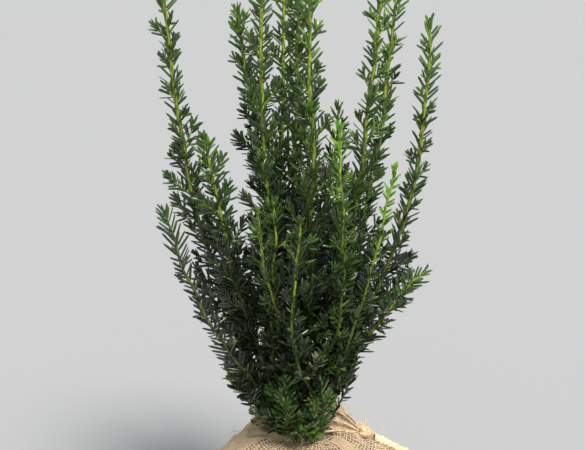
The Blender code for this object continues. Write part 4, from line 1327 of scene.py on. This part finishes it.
def fan_spot(apex, share, rise):
    """A place on the fan of cloth beyond the knot: share runs up its frayed edge, rise from knot to edge."""
    at = share * (len(FAN_EDGE) - 1)
    i = min(len(FAN_EDGE) - 2, int(at))
    edge = Vector(FAN_EDGE[i]).lerp(Vector(FAN_EDGE[i + 1]), at - i)
    near = apex + Vector((-0.006, (share - 0.5) * FAN_NARROW, (share - 0.4) * 1.6 * FAN_NARROW))
    spot = near.lerp(edge, rise)
    fold = 0.0062 * math.sin(22.0 * share + 0.6) + 0.0026 * math.sin(47.0 * share + 3.0 * rise)
    spot.y += fold * rise**0.8
    spot.x -= 0.4 * fold * rise
    spot.z += 0.0035 * math.sin(math.pi * min(1.0, rise)) * share
    return spot


def fan_object(apex, look):
    """The gathered corner of the cloth that stands up and flares from the knot, as a thin folded sheet."""
    shares, rises = np.linspace(0, 1, 90), np.linspace(0.0, 0.86, 30)
    places = np.array([[fan_spot(apex, share, rise) for share in shares] for rise in rises])
    around_here = places - np.array(apex)
    places = places + 0.0016 * noise_at(places, 120, 41.0)[..., None] * unit(around_here + 1e-6)
    uvs = np.stack(np.meshgrid(shares * FAN_CLOTH, rises * FAN_CLOTH), axis=-1)
    faces = grid_faces(*places.shape[:2], False)
    thing = make_object("sacking_fan", places, [faces], [look], uvs=uvs)
    thick = thing.modifiers.new("thick", "SOLIDIFY")
    thick.thickness = FAN_THICKNESS
    thick.offset = 0.0
    return thing


def fan_yarns(apex, chance):
    """Yarns along and across the fan, the ones along it ending in a loose fringe."""
    tubes = []

    def yarn(points, half, tip):
        last = len(points) - 1
        thinning = [1 - (1 - tip) * (i / last) ** 3 for i in range(last + 1)]
        radii = [half * chance.uniform(0.85, 1.15) * share for share in thinning]
        tubes.append(swept([tuple(point) for point in points], radii, 5))

    loose = [max(0.0, i / (FAN_YARN_SPOTS - 1) - FRINGE_FROM) for i in range(FAN_YARN_SPOTS)]
    for k in range(FAN_YARNS_ALONG):
        share = held((k + chance.uniform(-0.35, 0.35)) / (FAN_YARNS_ALONG - 1))
        rises = np.linspace(0.05, chance.uniform(0.95, 1.38), FAN_YARN_SPOTS)
        stray = Vector((chance.gauss(0, 1), chance.gauss(0, 1), chance.gauss(0.3, 1))) * FRINGE_STRAY
        offs = [stray * far / (1 - FRINGE_FROM) for far in loose]
        points = [fan_spot(apex, share, rise) + off for rise, off in zip(rises, offs)]
        yarn(points, YARN_HALF_WIDTH * chance.uniform(0.8, 1.25), 0.45)
    for j in range(FAN_YARNS_ACROSS):
        rise = 0.20 + 0.085 * j
        shares = np.linspace(chance.uniform(0.0, 0.12), chance.uniform(0.86, 1.0), 60)
        points = [fan_spot(apex, share, rise + 0.012 * math.sin(9 * share + 2 * j)) for share in shares]
        yarn(points, YARN_HALF_WIDTH, 0.8)
    return tubes


def loose_fibres(chance, skin, knot, tie_paths):
    """Fibres that stand off the ball, the collar, the ties and the fan, and one stiff end of yarn."""
    fibres, up = [], Vector((0, 0, 1))

    def sprout(start, heading, shortest, longest, curl):
        fibres.append(fibre(chance, start, heading, chance.uniform(shortest, longest), curl))

    for _ in range(FIBRES_ON_BALL):
        turn, radius = chance.uniform(0, math.tau), chance.uniform(0.03, 0.163)
        place, normal = skin.at(turn, skin.far_at(radius), NET_LIFT + 0.0006)
        sprout(place, any_way(chance) + Vector(normal) * 0.35, 0.010, 0.034, 0.22)
    for _ in range(FIBRES_AT_STEM):
        turn = chance.uniform(0, math.tau)
        at = COLLAR + level(turn) * chance.uniform(0.02, 0.05) + up * 0.003
        sprout(at, level(turn, chance.uniform(0.0, 0.7)), 0.012, 0.034, 0.25)
    for point in (point for path in tie_paths for point in path[::2]):
        for _ in range(FIBRES_ON_TIES):
            heading = any_way(chance) + up * 0.5
            sprout(point + heading.normalized() * 0.004, heading, 0.006, 0.018, 0.2)
    for _ in range(FIBRES_AT_FAN):
        at = fan_spot(knot, chance.random(), chance.uniform(0.45, 1.0))
        heading = Vector((chance.uniform(-1.0, 0.4), chance.gauss(0, 0.5), chance.uniform(0.1, 1.4)))
        sprout(at, heading, 0.008, 0.024, 0.18)
    end = [knot + Vector((0.002 - 0.0002 * i, 0.0003 * math.sin(i), 0.0024 * i)) for i in range(15)]
    fibres.append(swept([tuple(point) for point in end], [0.0013 - 0.00005 * i for i in range(15)], 6))
    return fibres


def sacking():
    """The wrapped ball and its ties, each piece with its slot and the nodes that it stands for."""
    inner = sacking_look("jute_inner_layer", 0.0030, 0.45, (0.26, 0.165, 0.085))
    double = sacking_look("jute_double_layer", 0.0024, 0.26, (0.84, 0.63, 0.40))
    pale = yarn_look("jute_yarn_pale", (0.84, 0.63, 0.39), (0.98, 0.83, 0.60))
    tan = yarn_look("jute_yarn_tan", (0.70, 0.50, 0.29), (0.94, 0.74, 0.49))
    chance = random.Random(SEED + "sacking")
    skin = Skin()
    upright_yarns, round_yarns = net(skin)
    folds = Shell()
    for index, (route, half_widths, lift) in enumerate(FOLDS):
        places, uvs = crumpled_strip(skin, route, half_widths, lift, 5.5 + 3 * index)
        folds.add(places, grid_faces(*places.shape[:2], False), uvs=uvs)

    knot, wound = knot_path(skin)
    right, back = band_paths(skin)
    knot_roll = rolled_cloth(wound, [KNOT_ROLL] * len(wound), 31.0)
    right_roll, back_roll = rolled_cloth(*right, 17.0), rolled_cloth(*back, 23.0)
    fringe = fan_yarns(knot, chance)
    fibres = loose_fibres(chance, skin, knot, (right[0], back[0], wound))
    return [
        (skin_object(skin, inner), "sacking", ["root_ball"]),
        (tubes_object("sacking_warp", upright_yarns, pale), "sacking", []),
        (tubes_object("sacking_weft", round_yarns, tan), "sacking", []),
        (folds.object("sacking_folds", double), "sacking", []),
        (tubes_object("sacking_knot", [knot_roll], tan), "sacking_ties", ["cloth_knot"]),
        (tubes_object("sacking_roll_right", [right_roll], pale), "sacking_ties", ["cloth_band_right"]),
        (tubes_object("sacking_roll_back", [back_roll], tan), "sacking_ties", ["cloth_band_back"]),
        (fan_object(knot, double), "sacking_ties", ["cloth_tail"]),
        (tubes_object("sacking_fan_yarns", fringe, pale), "sacking_ties", []),
        (tubes_object("sacking_fibres", fibres, pale), "sacking_ties", []),
    ]


def build():
    boughs = bough_paths()
    crown = grow(boughs)
    pieces = []
    for tone, upper, under in TONES:
        rows, looks = crown.needles[tone], needle_looks(tone, upper, under)
        for part, first in enumerate(range(0, len(rows), NEEDLES_IN_A_PIECE)):
            name = "needles_" + tone + (f"_{part + 1}" if part else "")
            thing = needle_object(name, rows[first : first + NEEDLES_IN_A_PIECE], looks)
            pieces.append((thing, "fresh_foliage" if tone == "fresh" else "foliage", []))
    pieces[0][2].extend([*LEADERS, *LOW_SPRAYS])
    for kind, (low, high) in TWIG_COLOURS.items():
        thing = twig_object(kind, crown.twigs[kind], 6, twig_look(kind + "_skin", low, high))
        pieces.append((thing, "fresh_foliage" if kind == "twigs_fresh" else "foliage", []))
    pieces.append((bark_object(boughs, bark_look()), "bark", ["trunk", *BOUGHS]))
    for piece, slot, nodes in pieces + sacking():
        if nodes:
            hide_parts(*nodes)
        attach(piece, "root")


# Floor, light and camera


def stage():
    corners = [(x * FLOOR_REACH, y * FLOOR_REACH, 0) for x, y in ((-1, -1), (1, -1), (1, 1), (-1, 1))]
    floor = make_object("floor", corners, [np.array([[0, 1, 2, 3]])], [floor_look()])
    floor.location.z = FLOOR_HEIGHT

    scene = bpy.context.scene
    scene.view_settings.view_transform = "Standard"
    scene.world = bpy.data.worlds.new("sky")
    scene.world.use_nodes = True
    background = scene.world.node_tree.nodes["Background"]
    background.inputs["Color"].default_value = SKY_COLOUR
    background.inputs["Strength"].default_value = SKY_STRENGTH

    data = bpy.data.lights.new("sun", "SUN")
    data.energy, data.angle, data.color = SUN_STRENGTH, math.radians(SUN_SIZE), SUN_COLOUR
    sun = linked("sun", data)
    sun.rotation_euler = Vector(TOWARDS_SUN).to_track_quat("Z", "Y").to_euler()

    lens = bpy.data.cameras.new("camera")
    lens.lens, lens.sensor_width = 50, 36
    camera = linked("camera", lens)
    camera.location = CAMERA_PLACE
    camera.rotation_euler = (math.radians(CAMERA_PITCH), 0, 0)
    scene.camera = camera


build()
stage()
